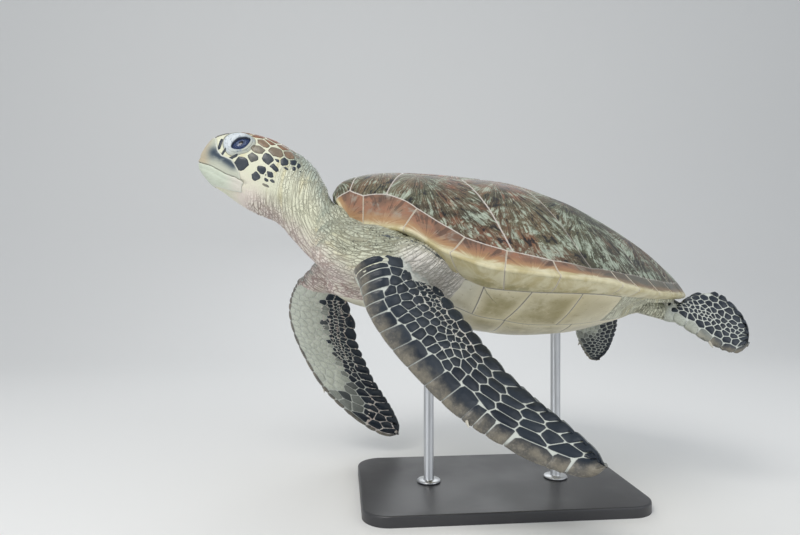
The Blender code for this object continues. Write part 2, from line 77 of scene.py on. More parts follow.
# place, size, power, colour, aimed at
LAMPS = (((-1.2, -1.5, 2.4), 1.3, 40, (1, .975, .94), (0, 0, .4)),
         ((1.9, -1.7, 1.3), 1.8, 14, (.94, .97, 1), (0, 0, .35)),
         ((.2, 1.9, 1.6), 1.5, 9, (.95, .98, 1), (0, 0, .4)),
         ((-1.6, -1.2, .25), 1.2, 4, (.93, .97, 1), (-.2, 0, .35)))


def new_finish(name, roughness, colour=(.5, .5, .5, 1), metallic=0, specular=.5, coat=0, coat_roughness=.1):
    """A Principled material; its pattern is built from the nodes below."""
    mat = bpy.data.materials.new(name)
    mat.use_nodes = True
    shader = mat.node_tree.nodes["Principled BSDF"]
    shader.inputs["Base Color"].default_value = colour
    shader.inputs["Roughness"].default_value = roughness
    shader.inputs["Metallic"].default_value = metallic
    shader.inputs["Specular IOR Level"].default_value = specular
    shader.inputs["Coat Weight"].default_value = coat
    shader.inputs["Coat Roughness"].default_value = coat_roughness
    return mat


def mesh_object(name, points, faces, mat, smooth=True):
    """An object at the origin with its place in its mesh."""
    mesh = bpy.data.meshes.new(name)
    mesh.from_pydata(np.asarray(points, float).tolist(), [], faces)
    mesh.validate()
    if smooth:
        mesh.shade_smooth()
    if mat:
        mesh.materials.append(mat)
    obj = bpy.data.objects.new(name, mesh)
    bpy.context.scene.collection.objects.link(obj)
    return obj


def sweep():
    """Floor that curves up into a backdrop."""
    arc = [(SWEEP_START + math.sin(a) * SWEEP_RADIUS, SWEEP_RADIUS * (1 - math.cos(a)))
           for a in np.linspace(0, math.pi / 2, 13)]
    line = [(-FLOOR_HALF, 0)] + arc + [(SWEEP_START + 1.5, SWEEP_HEIGHT)]
    points = [(x, y, z) for y, z in line for x in (-FLOOR_HALF, FLOOR_HALF)]
    faces = [(2 * k, 2 * k + 1, 2 * k + 3, 2 * k + 2) for k in range(len(line) - 1)]
    floor = mesh_object("floor", points, faces, new_finish("pale_floor", .85, FLOOR_TONE, specular=.2))


sweep()
eye = bpy.data.cameras.new("eye_level")
eye.lens, eye.clip_start, eye.clip_end = LENS, .01, 50
eye_object = bpy.data.objects.new("eye_level", eye)
eye_object.location = EYE_POINT
eye_object.rotation_euler = (math.pi / 2, 0, EYE_TURN)
bpy.context.scene.collection.objects.link(eye_object)
bpy.context.scene.camera = eye_object
for number, (place, size, power, colour, target) in enumerate(LAMPS):
    lamp = bpy.data.lights.new("lamp_%d" % number, "AREA")
    lamp.size, lamp.energy, lamp.color = size, power, colour
    lamp_object = bpy.data.objects.new("lamp_%d" % number, lamp)
    lamp_object.location = place
    lamp_object.rotation_euler = (Vector(target) - Vector(place)).to_track_quat("-Z", "Y").to_euler()
    bpy.context.scene.collection.objects.link(lamp_object)
room = bpy.data.worlds.new("room")
room.use_nodes = True
room.node_tree.nodes["Background"].inputs["Color"].default_value = (.86, .90, .95, 1)
room.node_tree.nodes["Background"].inputs["Strength"].default_value = .58
bpy.context.scene.world = room
bpy.context.scene.view_settings.view_transform = "Standard"

# ---------------------------------------------------------------- stand base
# A flat slab of cast board with rounded corners, sprayed satin black. It carries both rods.
BASE_ROUND, BASE_CORNER = .0035, .045


def node_in(tree, kind, inputs=(), **settings):
    """A new node in a tree; inputs are (socket, value or another node's output)."""
    node = tree.nodes.new(kind)
    for key, value in settings.items():
        setattr(node, key, value)
    for key, value in inputs:
        if isinstance(value, bpy.types.NodeSocket):
            tree.links.new(value, node.inputs[key])
        else:
            node.inputs[key].default_value = value
    return node


class Signal:
    """An output in a material's tree; a sum, difference or product of signals is a node too."""

    def __init__(self, mat, socket):
        self.mat, self.socket = mat, socket

    def __add__(self, other):
        return made("Math", ((0, self), (1, other)), operation="ADD")

    def __sub__(self, other):
        return made("Math", ((0, self), (1, other)), operation="SUBTRACT")

    def __mul__(self, other):
        return made("Math", ((0, self), (1, other)), operation="MULTIPLY")


def source(mat, kind, output, **settings):
    """What a node that needs no input gives to a material."""
    return Signal(mat, node_in(mat.node_tree, "ShaderNode" + kind, **settings).outputs[output])


def made(kind, inputs, output=0, **settings):
    """A node in the material of its inputs, which are (socket, value or signal)."""
    mat = next(value.mat for key, value in inputs if isinstance(value, Signal))
    sockets = [(key, value.socket if isinstance(value, Signal) else value) for key, value in inputs]
    return Signal(mat, node_in(mat.node_tree, "ShaderNode" + kind, sockets, **settings).outputs[output])


def place_of(mat):
    return source(mat, "TexCoord", "Object")


def larger(a, b):
    return made("Math", ((0, a), (1, b)), operation="MAXIMUM")


def parts(vector):
    """The x, y and z of a vector."""
    node = made("SeparateXYZ", ((0, vector),)).socket.node
    return [Signal(vector.mat, socket) for socket in node.outputs]


def noise(vector, scale, detail=3, rough=.5, distortion=0):
    return made("TexNoise", (("Vector", vector), ("Scale", scale), ("Detail", detail), ("Roughness", rough),
                             ("Distortion", distortion)), "Fac")


def cells(vector, scale, feature="DISTANCE_TO_EDGE"):
    return made("TexVoronoi", (("Vector", vector), ("Scale", scale)), "Distance", feature=feature)


def fade(value, low, high, to_low=0, to_high=1):
    """value taken smoothly from low..high to to_low..to_high."""
    return made("MapRange", ((0, value), (1, low), (2, high), (3, to_low), (4, to_high)),
                interpolation_type="SMOOTHSTEP")


def stretched(vector, factors, turn=(0, 0, 0)):
    return made("Mapping", ((0, vector), (2, turn), (3, factors)))


def blend(share, a, b, kind="MIX"):
    """Colour between a and b; a plain (r, g, b) is taken as a colour."""
    a, b = [(*c, 1) if isinstance(c, tuple) else c for c in (a, b)]
    return made("Mix", ((0, share), (6, a), (7, b)), 2, data_type="RGBA", blend_type=kind)


def steps(value, stops):
    """Colour ramp through (position, (r, g, b)) stops."""
    signal = made("ValToRGB", ((0, value),))
    ramp = signal.socket.node.color_ramp
    while len(ramp.elements) < len(stops):
        ramp.elements.new(.5)
    for element, (position, colour) in zip(ramp.elements, stops):
        element.position, element.color = position, (*colour, 1)
    return signal


def bump(height, distance, strength=1, under=None):
    pairs = [("Height", height), ("Distance", distance), ("Strength", strength)]
    if under:
        pairs.append(("Normal", under))
    return made("Bump", pairs)


def surface(mat, **signals):
    """Links signals to the shader: colour, roughness, normal."""
    shader = mat.node_tree.nodes["Principled BSDF"]
    names = {"colour": "Base Color", "roughness": "Roughness", "normal": "Normal"}
    for key, signal in signals.items():
        mat.node_tree.links.new(signal.socket, shader.inputs[names[key]])


def held(obj, slot, *nodes):
    """A finished piece: it rides on the one body, for its CAD nodes, which are hidden. slot is not used."""
    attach(obj, "root")
    if nodes:
        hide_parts(*nodes)
    return obj


def stand_base():
    """The painted slab with its rounded corners and softened edges."""
    low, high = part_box("stand_base")
    bm = bmesh.new()
    bmesh.ops.create_cube(bm, size=1)
    size = high - low
    bmesh.ops.scale(bm, vec=size, verts=bm.verts)
    bmesh.ops.translate(bm, vec=(low + high) / 2, verts=bm.verts)
    uprights = [e for e in bm.edges if abs(e.verts[0].co.z - e.verts[1].co.z) > size.z / 2]
    bmesh.ops.bevel(bm, geom=uprights, offset=BASE_CORNER, segments=16, affect="EDGES", profile=.5)
    rim = [e for e in bm.edges if min(v.co.z for v in e.verts) > high.z - 1e-5]
    bmesh.ops.bevel(bm, geom=rim, offset=BASE_ROUND, segments=5, affect="EDGES", profile=.5)
    mesh = bpy.data.meshes.new("stand_base_finish")
    bm.to_mesh(mesh)
    bm.free()
    mesh.shade_smooth()
    mesh.set_sharp_from_angle(angle=math.radians(35))
    obj = bpy.data.objects.new("base_slab", mesh)
    bpy.context.scene.collection.objects.link(obj)
    mat = new_finish("satin_black_paint", .42, (.03, .03, .033, 1), coat=.15, coat_roughness=.25)
    spray = noise(place_of(mat), 900, 2)
    cloud = noise(place_of(mat), 9, 3)
    surface(mat, colour=blend(cloud, (.026, .026, .029), (.042, .042, .046)),
            roughness=fade(cloud, .3, .7, .36, .50), normal=bump(spray, .00012, .5))
    mesh.materials.append(mat)
    held(obj, "stand_paint", "stand_base")


stand_base()

# ---------------------------------------------------------------- stand rods
# Two turned steel rods with a brushed finish. Each screws up into the shell's underside and down
# into the base, where a thin steel rose covers the hole.
ROSE_RADIUS, ROSE_THICK = .021, .004


def turned(profile, middle, turns=56):
    """Points and faces of a closed turned body: profile runs (radius, z) from the bottom up."""
    points = [(middle[0], middle[1], profile[0][1])]
    for radius, z in profile:
        for k in range(turns):
            a = 2 * math.pi * k / turns
            points.append((middle[0] + radius * math.cos(a), middle[1] + radius * math.sin(a), z))
    points.append((middle[0], middle[1], profile[-1][1]))
    faces = []
    for k in range(turns):
        n = (k + 1) % turns
        faces.append((0, 1 + n, 1 + k))
        for j in range(len(profile) - 1):
            a, b = 1 + j * turns, 1 + (j + 1) * turns
            faces.append((a + k, a + n, b + n, b + k))
        last = 1 + (len(profile) - 1) * turns
        faces.append((last + k, last + n, len(points) - 1))
    return points, faces


def brushed_steel():
    mat = new_finish("brushed_steel", .32, (.56, .57, .59, 1), metallic=1)
    brush = noise(stretched(place_of(mat), (60, 60, 4200)), 1, 2)
    smear = noise(place_of(mat), 14, 3)
    surface(mat, colour=blend(smear, (.50, .51, .53), (.64, .65, .66)),
            roughness=fade(smear, .3, .7, .26, .40), normal=bump(brush, .00008, .4))
    return mat


def stand_rods():
    """Both rods, each turned with its rose as one piece."""
    steel = brushed_steel()
    top_of_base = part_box("stand_base")[1].z
    for word in ("front", "rear"):
        node = "stand_rod_" + word
        low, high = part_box(node)
        middle, radius = (low + high) / 2, (high.x - low.x) / 2
        foot = top_of_base + .0004
        profile = [(ROSE_RADIUS - .001, foot), (ROSE_RADIUS, foot + .001),
                   (ROSE_RADIUS, foot + ROSE_THICK - .0012), (ROSE_RADIUS - .0012, foot + ROSE_THICK),
                   (radius + .0018, foot + ROSE_THICK), (radius + .0006, foot + ROSE_THICK + .0005),
                   (radius, foot + ROSE_THICK + .0018), (radius, high.z - .002)]
        points, faces = turned(profile, middle)
        rod = mesh_object("rod_" + word, points, faces, steel)
        rod.data.set_sharp_from_angle(angle=math.radians(50))
        held(rod, "stand_steel", node)


stand_rods()

# ---------------------------------------------------------------- carapace: vertebral and costal scutes
# Five scutes along the back and four on each side: thin plates of smooth horn over bone. They grow
# at their edges, so streaks run out from the oldest part and a pale line marks each seam.
SHELL = .65
TRIM = math.radians(5.25)
MARGIN_HEIGHT = .415
BALANCE = .45
PLATE = .0088
INSIDE = .0004 / SHELL      # how far the finished horn lies inside the solid's outer face
HALF_WIDTH = ((-.010, .045), (0, .078), (.02, .120), (.06, .185), (.12, .253), (.20, .320), (.30, .371),
              (.40, .392), (.50, .393), (.60, .376), (.70, .336), (.80, .266), (.88, .190), (.95, .108),
              (1, .030))
RIDGE = ((-.010, .178), (0, .199), (.02, .217), (.053, .231), (.10, .244), (.20, .255), (.30, .2585),
         (.43, .256), (.60, .223), (.72, .177), (.78, .149), (.854, .110), (.904, .077), (.968, .032),
         (1, .004))
MARGIN = ((-.010, .171), (0, .157), (.05, .092), (.10, .088), (.16, .085), (.26, .038), (.375, .013),
          (.50, .010), (.60, .008), (.70, -.002), (.80, -.008), (1, -.007))
DOME_POWER = ((0, 1.08), (.12, 1.15), (.20, 1.28), (.35, 1.42), (.65, 1.34), (.90, 1.10), (1, 1))
INNER_SEAM = ((.034, .082), (.068, .130), (.124, .167), (.195, .236), (.302, .303), (.395, .331),
              (.409, .332), (.498, .345), (.590, .340), (.645, .319), (.690, .298), (.745, .266),
              (.770, .250), (.840, .197), (.870, .168), (.900, .136), (.945, .076), (.968, .0))
V_FRONT = ((.054, 0), (.170, .052), (.385, .046), (.580, .042), (.765, .032))
V_SIDE = ((.322, .088), (.490, .086), (.680, .076))
COSTAL_BOW = ((.370, .213), (.548, .222), (.722, .178))
COSTAL_CORNERS = (2, 6, 8, 11, 14)      # of INNER_SEAM, where the costals' cross seams start
SEAM_GAP = .0003
GROOVE_DEPTH, GROOVE_WIDTH = .0009, .0018


def curve(knots, x):
    """Smooth values at x of a curve through (x, value) knots."""
    kx, kv = np.array(knots, float).T
    step = np.diff(kv) / np.diff(kx)
    before, after = np.r_[step[0], step], np.r_[step, step[-1]]
    rising = before * after > 0
    slope = np.where(rising, 2 * before * after / np.where(rising, before + after, 1), 0)
    x = np.clip(np.asarray(x, float), kx[0], kx[-1])
    i = np.clip(np.searchsorted(kx, x, "right") - 1, 0, len(kx) - 2)
    d = kx[i + 1] - kx[i]
    t = (x - kx[i]) / d
    return ((1 + 2 * t) * (1 - t) ** 2 * kv[i] + t * (1 - t) ** 2 * d * slope[i]
            + t * t * (3 - 2 * t) * kv[i + 1] - t * t * (1 - t) * d * slope[i + 1])


def dome(x, y):
    """Height of the carapace's outer face."""
    t = np.minimum(1, np.abs(y) / curve(HALF_WIDTH, x))
    edge = curve(MARGIN, x)
    return edge + (curve(RIDGE, x) - edge) * (1 - t * t) ** curve(DOME_POWER, x) - INSIDE


def world(points):
    """Points of the shell's frame in the row frame, in metres."""
    p = np.asarray(points, float) * SHELL
    c, s = math.cos(TRIM), math.sin(TRIM)
    return np.stack([p[..., 0] * c + p[..., 2] * s - BALANCE * SHELL * c, p[..., 1],
                     p[..., 2] * c - p[..., 0] * s + MARGIN_HEIGHT], -1)


def heading(direction):
    """A direction of the shell's frame in the row frame, one shell length long for each 1."""
    return world(direction) - world([0, 0, 0])


def smooth(x, low, high):
    """0 below low, 1 above high, with a soft change between; high may be the lesser."""
    t = np.clip((np.asarray(x, float) - low) / (high - low), 0, 1)
    return t * t * (3 - 2 * t)


def lumps(points, scale, seed=0):
    """Smooth noise from -1 to 1 at points, with lumps about 1 / scale apart."""
    p = np.asarray(points, float) * scale + 37.1 + seed * 17.3
    cell = np.floor(p).astype(np.int64)
    f = p - cell
    f = f * f * (3 - 2 * f)
    total = 0
    for corner in range(8):
        bits = np.array([corner & 1, corner >> 1 & 1, corner >> 2 & 1])
        at = cell + bits
        mixed = (at[..., 0] * 73856093) ^ (at[..., 1] * 19349663) ^ (at[..., 2] * 83492791) ^ (seed * 2654435)
        mixed = (mixed ^ (mixed >> 13)) * 1274126177 & 0x7fffffff
        value = (mixed ^ (mixed >> 15)) % 65536 / 32768 - 1
        total = total + value * np.prod(np.where(bits, f, 1 - f), -1)
    return total


def store(obj, name, values):
    """A number or a vector for each point of a mesh, for its material to read."""
    values = np.asarray(values, np.float32)
    kind = "FLOAT" if values.ndim == 1 else "FLOAT_VECTOR"
    layer = obj.data.attributes.new(name, kind, "POINT")
    layer.data.foreach_set("value" if values.ndim == 1 else "vector", values.ravel())


def read(mat, name, output="Fac"):
    """A value that store() put on the piece."""
    return source(mat, "Attribute", output, attribute_name=name)


def to_line(places, line):
    """Distance of flat places to a line of points."""
    best = np.full(len(places), 9.)
    for p, q in zip(line, line[1:]):
        along = np.subtract(q, p)
        t = np.clip(((places - p) @ along) / max(along @ along, 1e-12), 0, 1)
        best = np.minimum(best, np.linalg.norm(places - p - t[:, None] * along, axis=1))
    return best


def area_of(outline):
    """Area inside a closed outline, positive where it runs counter-clockwise."""
    a, b = outline, np.roll(outline, -1, 0)
    return np.sum(a[:, 0] * b[:, 1] - b[:, 0] * a[:, 1]) / 2


def even_loop(outline, spacing):
    """Points along a closed outline, corners kept, no further apart than spacing."""
    loop = []
    for p, q in zip(outline, np.roll(outline, -1, 0)):
        count = max(2, int(np.ceil(np.linalg.norm(q - p) / spacing)))
        loop += [p + (q - p) * k / count for k in range(count)]
    return np.array(loop)


def moved_in(loop, distance):
    """A closed loop, counter-clockwise, drawn in by a distance."""
    before, after = np.roll(loop, 1, 0), np.roll(loop, -1, 0)
    side = after - before
    normal = np.stack([-side[:, 1], side[:, 0]], 1) / np.linalg.norm(side, axis=1)[:, None]
    return loop + normal * distance


def plan_plate(name, corners, height, oldest, mat, up=1, spacing=.0032):
    """Closed plate over a plan outline, on a height function; up is -1 for one that faces down."""
    outline = np.array(corners, float)
    if area_of(outline) < 0:
        outline = outline[::-1]
    loop = moved_in(even_loop(outline, spacing / SHELL), SEAM_GAP / 2 / SHELL)
    middle = loop.mean(0)
    reach = np.linalg.norm(loop - middle, axis=1).mean() * SHELL
    near = [0, .0005, .0010, .0016, .0024, .0036, .0056]
    inner = list(np.arange(.0056 + .0045, reach * .97, .0048))
    shares = [1 - d / reach for d in near + inner]
    rings = [middle + (loop - middle) * share for share in shares]
    xy = np.vstack(rings + [middle[None]])
    gap = to_line(xy, [*outline, outline[0]]) * SHELL
    z = height(xy[:, 0], xy[:, 1])
    flat = np.column_stack([xy, z])
    relief = -GROOVE_DEPTH * np.exp(-(gap / GROOVE_WIDTH) ** 2) - .0003 * np.exp(-gap / .008)
    relief += .00022 * lumps(flat, 22, 3) + .00010 * lumps(flat, 70, 5) - .0002
    z = z + up * relief / SHELL
    count, last = len(loop), len(xy) - 1
    under = rings[0]
    under_z = height(under[:, 0], under[:, 1]) - up * PLATE
    middle_z = height(middle[None, 0], middle[None, 1]) - up * PLATE
    points = np.vstack([np.column_stack([xy, z]), np.column_stack([under, under_z]),
                        np.column_stack([middle[None], middle_z])])
    faces = []
    for r in range(len(rings)):
        for k in range(count):
            n = (k + 1) % count
            if r + 1 < len(rings):
                faces.append((r * count + k, r * count + n, (r + 1) * count + n, (r + 1) * count + k))
            else:
                faces.append((r * count + k, r * count + n, last))
    low = last + 1
    for k in range(count):
        n = (k + 1) % count
        faces.append((low + k, low + n, n, k))
        faces.append((low + n, low + k, len(points) - 1))
    if up < 0:
        faces = [face[::-1] for face in faces]
    obj = mesh_object(name, world(points), faces, mat)
    away = (points[:, :2] - np.array(oldest)) * SHELL
    angle, far = np.arctan2(away[:, 1], away[:, 0]), np.hypot(away[:, 0], away[:, 1])
    full_gap = np.r_[gap, np.zeros(count), .01]
    store(obj, "seam", full_gap)
    store(obj, "ray", np.column_stack([np.cos(angle), np.sin(angle), far / .1]))
    return obj


def horn_of_the_back():
    """Brown horn with rust, olive, cream and black streaks that run out from the oldest part."""
    mat = new_finish("carapace_horn", .44, specular=.26, coat=.04, coat_roughness=.25)
    place, ray, seam = place_of(mat), read(mat, "ray", "Vector"), read(mat, "seam")
    warp = noise(place, 26, 4)
    shift = made("CombineXYZ", ((0, warp * .22), (1, warp * -.18), (2, warp * .5)))
    bent = made("VectorMath", ((0, ray), (1, shift)), operation="ADD")
    fan = noise(stretched(bent, (6.5, 6.5, .8)), 1, 4, .62)
    fine_fan = noise(stretched(bent, (19, 19, 1.6)), 1, 4, .65)
    hair_fan = noise(stretched(bent, (46, 46, 4)), 1, 3, .6)
    patch = noise(place, 9.5, 4, .55, .4)
    small_patch = noise(place, 30, 5, .62, .6)
    back = fade(parts(place)[0], -.02, .16)
    ground = steps(patch, ((.30, (.050, .046, .030)), (.44, (.110, .078, .046)),
                           (.55, (.180, .088, .054)), (.68, (.100, .086, .050))))
    ground = blend(back * .75, ground, (.070, .074, .050))
    rust = fade(fan * .7 + patch * .45, .56, .70) * fade(back, 0, 1, .9, .28)
    ground = blend(rust, ground, (.290, .108, .058))
    mossy = fade(noise(place, 7, 3), .46, .62, 0, .65)
    ground = blend(mossy, ground, (.105, .118, .070))
    pale = fade(fine_fan * .62 + small_patch * .58, .625, .70)
    pale_tone = blend(noise(place, 60, 3), (.30, .37, .30), (.50, .53, .42))
    ground = blend(pale * .85, ground, pale_tone)
    thin = fade(hair_fan * .60 + small_patch * .45, .545, .60)
    ground = blend(thin * fade(back, 0, 1, .30, .70), ground, (.33, .39, .31))
    dark = fade(fine_fan * .55 + small_patch * .50, .490, .440)
    ground = blend(dark * .92, ground, (.014, .015, .017))
    threads = fade(hair_fan, .42, .60, .72, 1.15)
    ground = blend(1, ground, made("CombineColor", ((0, threads), (1, threads), (2, threads))), "MULTIPLY")
    pale_seam = fade(seam + noise(place, 300, 2) * .0009, .0022, .0009)
    ground = blend(pale_seam * fade(back, 0, .7, 1, .30), ground, (.66, .61, .56))
    ground = blend(fade(seam, .00045, .0001, 0, .55), ground, (.16, .13, .12))
    wear = bump(noise(place, 420, 3), .0002, .35)
    lines = bump(hair_fan, .0004, .5, wear)
    surface(mat, colour=ground, roughness=fade(small_patch, .35, .65, .34, .52), normal=lines)
    return mat


def back_scutes():
    """Presses the vertebral and costal scutes out of the dome and gives back their horn."""
    mat = horn_of_the_back()
    seam = INNER_SEAM
    for n in range(5):
        left = [V_FRONT[n]] if n else [V_FRONT[0], seam[0], seam[1], seam[2]]
        if 0 < n < 4:
            left.append(V_SIDE[n - 1])
        left += [V_FRONT[n + 1]] if n < 4 else list(seam[14:])
        ring = left + [(x, -y) for x, y in reversed(left) if y]
        start = V_FRONT[n][0]
        end = V_FRONT[n + 1][0] if n < 4 else .968
        node = "vertebral_%d" % (n + 1)
        scute = plan_plate("scute_" + node, ring, dome, (start * .35 + end * .65, 0), mat)
        held(scute, "carapace_scute", node)
    tops = (seam[2],) + V_SIDE + (seam[14],)
    for hand, word in ((-1, "left"), (1, "right")):
        for n in range(4):
            a, b = COSTAL_CORNERS[n], COSTAL_CORNERS[n + 1]
            ring = [V_FRONT[n + 1], tops[n]] if n else [V_FRONT[1]]
            if n:
                ring.append(COSTAL_BOW[n - 1])
            ring += seam[a:b + 1]
            if n < 3:
                ring += [COSTAL_BOW[n], V_SIDE[n]]
            ring = [(x, y * hand) for x, y in ring]
            oldest = ((V_FRONT[n + 1][0] * .75 + tops[n + 1][0] * .25), .085 * hand)
            node = "costal_%s_%d" % (word, n + 1)
            scute = plan_plate("scute_" + node, ring, dome, oldest, mat)
            held(scute, "carapace_scute", node)
    return mat


back_horn = back_scutes()

# ---------------------------------------------------------------- carapace: nuchal and marginal scutes
# The rim of the shell: one scute behind the neck and twelve round each side. Each wraps over the
# rim like a folded card, rust brown above and wearing to cream where it turns under.
LIP_DROP = ((-.010, .010), (.10, .004), (.18, .006), (.24, .022), (.30, .042), (.36, .050), (.60, .036),
            (.75, .022), (1, .014))
MARGINAL_SEAMS = ((.068, .072), (.195, .161), (.302, .262), (.395, .378), (.498, .502), (.645, .662),
                  (.690, .716), (.770, .796), (.840, .868), (.900, .926), (.945, .968))
RIM_BULGE = .0055


def seam_width(x):
    """Half width of the marginals' inner seam, kept inside the rim."""
    seam = curve(((-.010, .040), (0, .070)) + INNER_SEAM, x)
    return np.maximum(.004, np.minimum(seam, curve(HALF_WIDTH, x) - .012))


def lip(x):
    """Height of the lower face of the marginals at their inner edge."""
    return curve(MARGIN, x) - curve(LIP_DROP, x)


def along_path(path, shares):
    """Points at shares of the length of a plan path."""
    path = np.array(path, float)
    run = np.r_[0, np.cumsum(np.linalg.norm(np.diff(path, axis=0), axis=1))]
    return np.stack([np.interp(shares * run[-1], run, path[:, k]) for k in (0, 1)], 1)


def edge_dense(count, tight):
    """Shares from 0 to 1, closer together at both ends."""
    t = np.linspace(0, 1, count)
    return (1 - tight) * t + tight * (t - np.sin(2 * np.pi * t) / (2 * np.pi))


def run_lengths(grid, axis):
    """Distance in metres to the nearer end along one axis of a grid of points."""
    step = np.linalg.norm(np.diff(grid, axis=axis), axis=2)
    pad = [(0, 0), (0, 0)]
    pad[axis] = (1, 0)
    there = np.pad(np.cumsum(step, axis=axis), pad)
    back = np.take(there, [-1], axis=axis) - there
    return np.minimum(there, back)


def rim_plate(name, inner, outer, mat, across=30):
    """Closed scute that runs from an inner seam over the rim and back under to the body."""
    length = np.linalg.norm(np.diff(np.array(outer), axis=0), axis=1).sum() * SHELL
    along = edge_dense(max(18, int(length / .0028)), .8)
    gap = SEAM_GAP / 2 / SHELL / max(length / SHELL, .01)
    along = gap + along * (1 - 2 * gap)
    inside, outside = along_path(inner, along), along_path(outer, along)
    top = []
    shares = edge_dense(across, .7)
    for v in shares:
        xy = inside + (outside - inside) * v
        z = dome(xy[:, 0], xy[:, 1])
        z = z - .0022 * smooth(v, .955, 1) ** 2
        top.append(np.column_stack([xy, z]))
    outward = outside - inside
    outward /= np.linalg.norm(outward, axis=1)[:, None]
    z_rim = top[-1][:, 2]
    foot_xy = inside + outward * .003
    foot_z = lip(inside[:, 0])
    below = []
    for v in np.linspace(0, 1, 5)[1:]:
        a = v * math.pi / 2
        xy = outside - outward * .004 * (1 - math.cos(a))
        below.append(np.column_stack([xy, z_rim - .0078 * math.sin(a)]))
    start = below[-1]
    for v in edge_dense(16, .5)[1:]:
        swell = RIM_BULGE * np.sin(np.pi * v) * smooth(np.linalg.norm(outside - foot_xy, axis=1), .02, .05)
        xy = start[:, :2] + (foot_xy - start[:, :2]) * v + outward * (swell * .5)[:, None]
        z = start[:, 2] + (foot_z - start[:, 2]) * v - swell * .6
        below.append(np.column_stack([xy, z]))
    grid = np.stack(top + below, 1)
    gap_u, gap_v = run_lengths(world(grid), 0), run_lengths(world(grid), 1)
    seam = np.minimum(gap_u, gap_v)
    faces_out = np.cross(np.gradient(grid, axis=0), np.gradient(grid, axis=1))
    faces_out /= np.linalg.norm(faces_out, axis=2)[..., None] + 1e-12
    if faces_out[len(along) // 2, 2, 2] < 0:
        faces_out = -faces_out
    relief = -GROOVE_DEPTH * np.exp(-(seam / GROOVE_WIDTH) ** 2) - .00025
    relief += .0002 * lumps(grid, 24, 3) + .00012 * lumps(grid, 70, 5)
    shaped = grid + faces_out * (relief / SHELL)[..., None]
    rows, columns = shaped.shape[:2]
    points = shaped.reshape(-1, 3)
    core_low = np.column_stack([foot_xy, foot_z])
    core_high = np.column_stack([inside, dome(inside[:, 0], inside[:, 1]) - PLATE])
    core = len(points)
    points = np.vstack([points, core_high, core_low + (0, 0, PLATE * .3)])
    faces = []
    for i in range(rows - 1):
        for j in range(columns - 1):
            a = i * columns + j
            faces.append((a, a + columns, a + columns + 1, a + 1))
        first, last = i * columns, i * columns + columns - 1
        high, low = core + i, core + rows + i
        faces.append((first, high, high + 1, first + columns))
        faces.append((high, low, low + 1, high + 1))
        faces.append((low, last, last + columns, low + 1))
    for i, turn in ((0, 1), (rows - 1, -1)):
        ring = [i * columns + j for j in range(columns)] + [core + rows + i, core + i]
        faces.append(tuple(ring[::turn]))
    obj = mesh_object(name, world(points), faces, mat)
    outward_facing(obj)
    store(obj, "seam", np.r_[seam.ravel(), np.zeros(2 * rows)])
    turn_under = np.r_[shares * .5, .5 + .5 * np.linspace(0, 1, len(below))]
    level = np.tile(turn_under, rows)
    store(obj, "level", np.r_[level, np.ones(2 * rows)])
    oldest = np.array([outside[-1, 0] * .5 + outside[0, 0] * .5, outside[len(outside) // 2, 1]])
    away = (points[:, :2] - oldest) * SHELL
    angle, far = np.arctan2(away[:, 1], away[:, 0]), np.hypot(away[:, 0], away[:, 1])
    store(obj, "ray", np.column_stack([np.cos(angle), np.sin(angle), far / .1]))
    return obj


def outward_facing(obj):
    """Turns the faces of a closed mesh outwards."""
    bm = bmesh.new()
    bm.from_mesh(obj.data)
    bmesh.ops.recalc_face_normals(bm, faces=bm.faces)
    bm.to_mesh(obj.data)
    bm.free()


def horn_of_the_rim():
    """Brown and rust horn above, orange then cream at the rim, with faint mottling under it."""
    mat = new_finish("marginal_horn", .40, specular=.32, coat=.08, coat_roughness=.25)
    place, ray = place_of(mat), read(mat, "ray", "Vector")
    seam, level = read(mat, "seam"), read(mat, "level")
    fan = noise(stretched(ray, (9, 9, 1.2)), 1, 4, .6)
    patch = noise(place, 16, 4, .6, .4)
    fine = noise(place, 60, 4, .6)
    x = parts(place)[0]
    back = fade(x, .00, .17)
    upper = steps(patch, ((.30, (.105, .068, .048)), (.46, (.200, .112, .074)), (.60, (.300, .150, .092)),
                          (.72, (.250, .180, .120))))
    dark = fade(fan * .6 + fine * .45, .50, .44)
    upper = blend(dark * .60, upper, (.050, .038, .032))
    cloudy = noise(place, 30, 5, .62, .5)
    bluish = fade(fan * .3 + cloudy * .75, .54, .66)
    upper = blend(bluish * .55, upper, (.330, .335, .285))
    upper = blend(back * .8, upper, blend(cloudy, (.050, .058, .052), (.150, .165, .130)))
    # amidships the pale band climbs well above the rim
    climb = fade(x, -.17, -.07) * fade(x, .20, .08, .35, 1)
    wavering = level + (fan - .5) * .24
    wavering = wavering + climb * .13
    orange = fade(wavering, .25, .42)
    orange = orange * fade(back, 0, 1, .85, .35)
    shade = blend(orange, upper, blend(cloudy, (.350, .190, .090), (.470, .290, .140)))
    cream_tone = blend(fade(cloudy, .35, .65), (.500, .430, .230), (.680, .630, .430))
    cream = fade(wavering, .40, .52)
    shade = blend(cream, shade, cream_tone)
    olive = fade(fade(level, .55, .85) * fine, .46, .60, 0, .5)
    shade = blend(olive, shade, (.300, .270, .130))
    ragged = seam + noise(place, 300, 2) * .0008
    shade = blend(fade(ragged, .0019, .0008), shade, (.68, .62, .50))
    shade = blend(fade(seam, .0005, .0001, 0, .5), shade, (.20, .16, .14))
    wear = bump(noise(place, 420, 3), .0002, .35)
    surface(mat, colour=shade, roughness=fade(patch, .35, .65, .30, .46), normal=wear)
    return mat


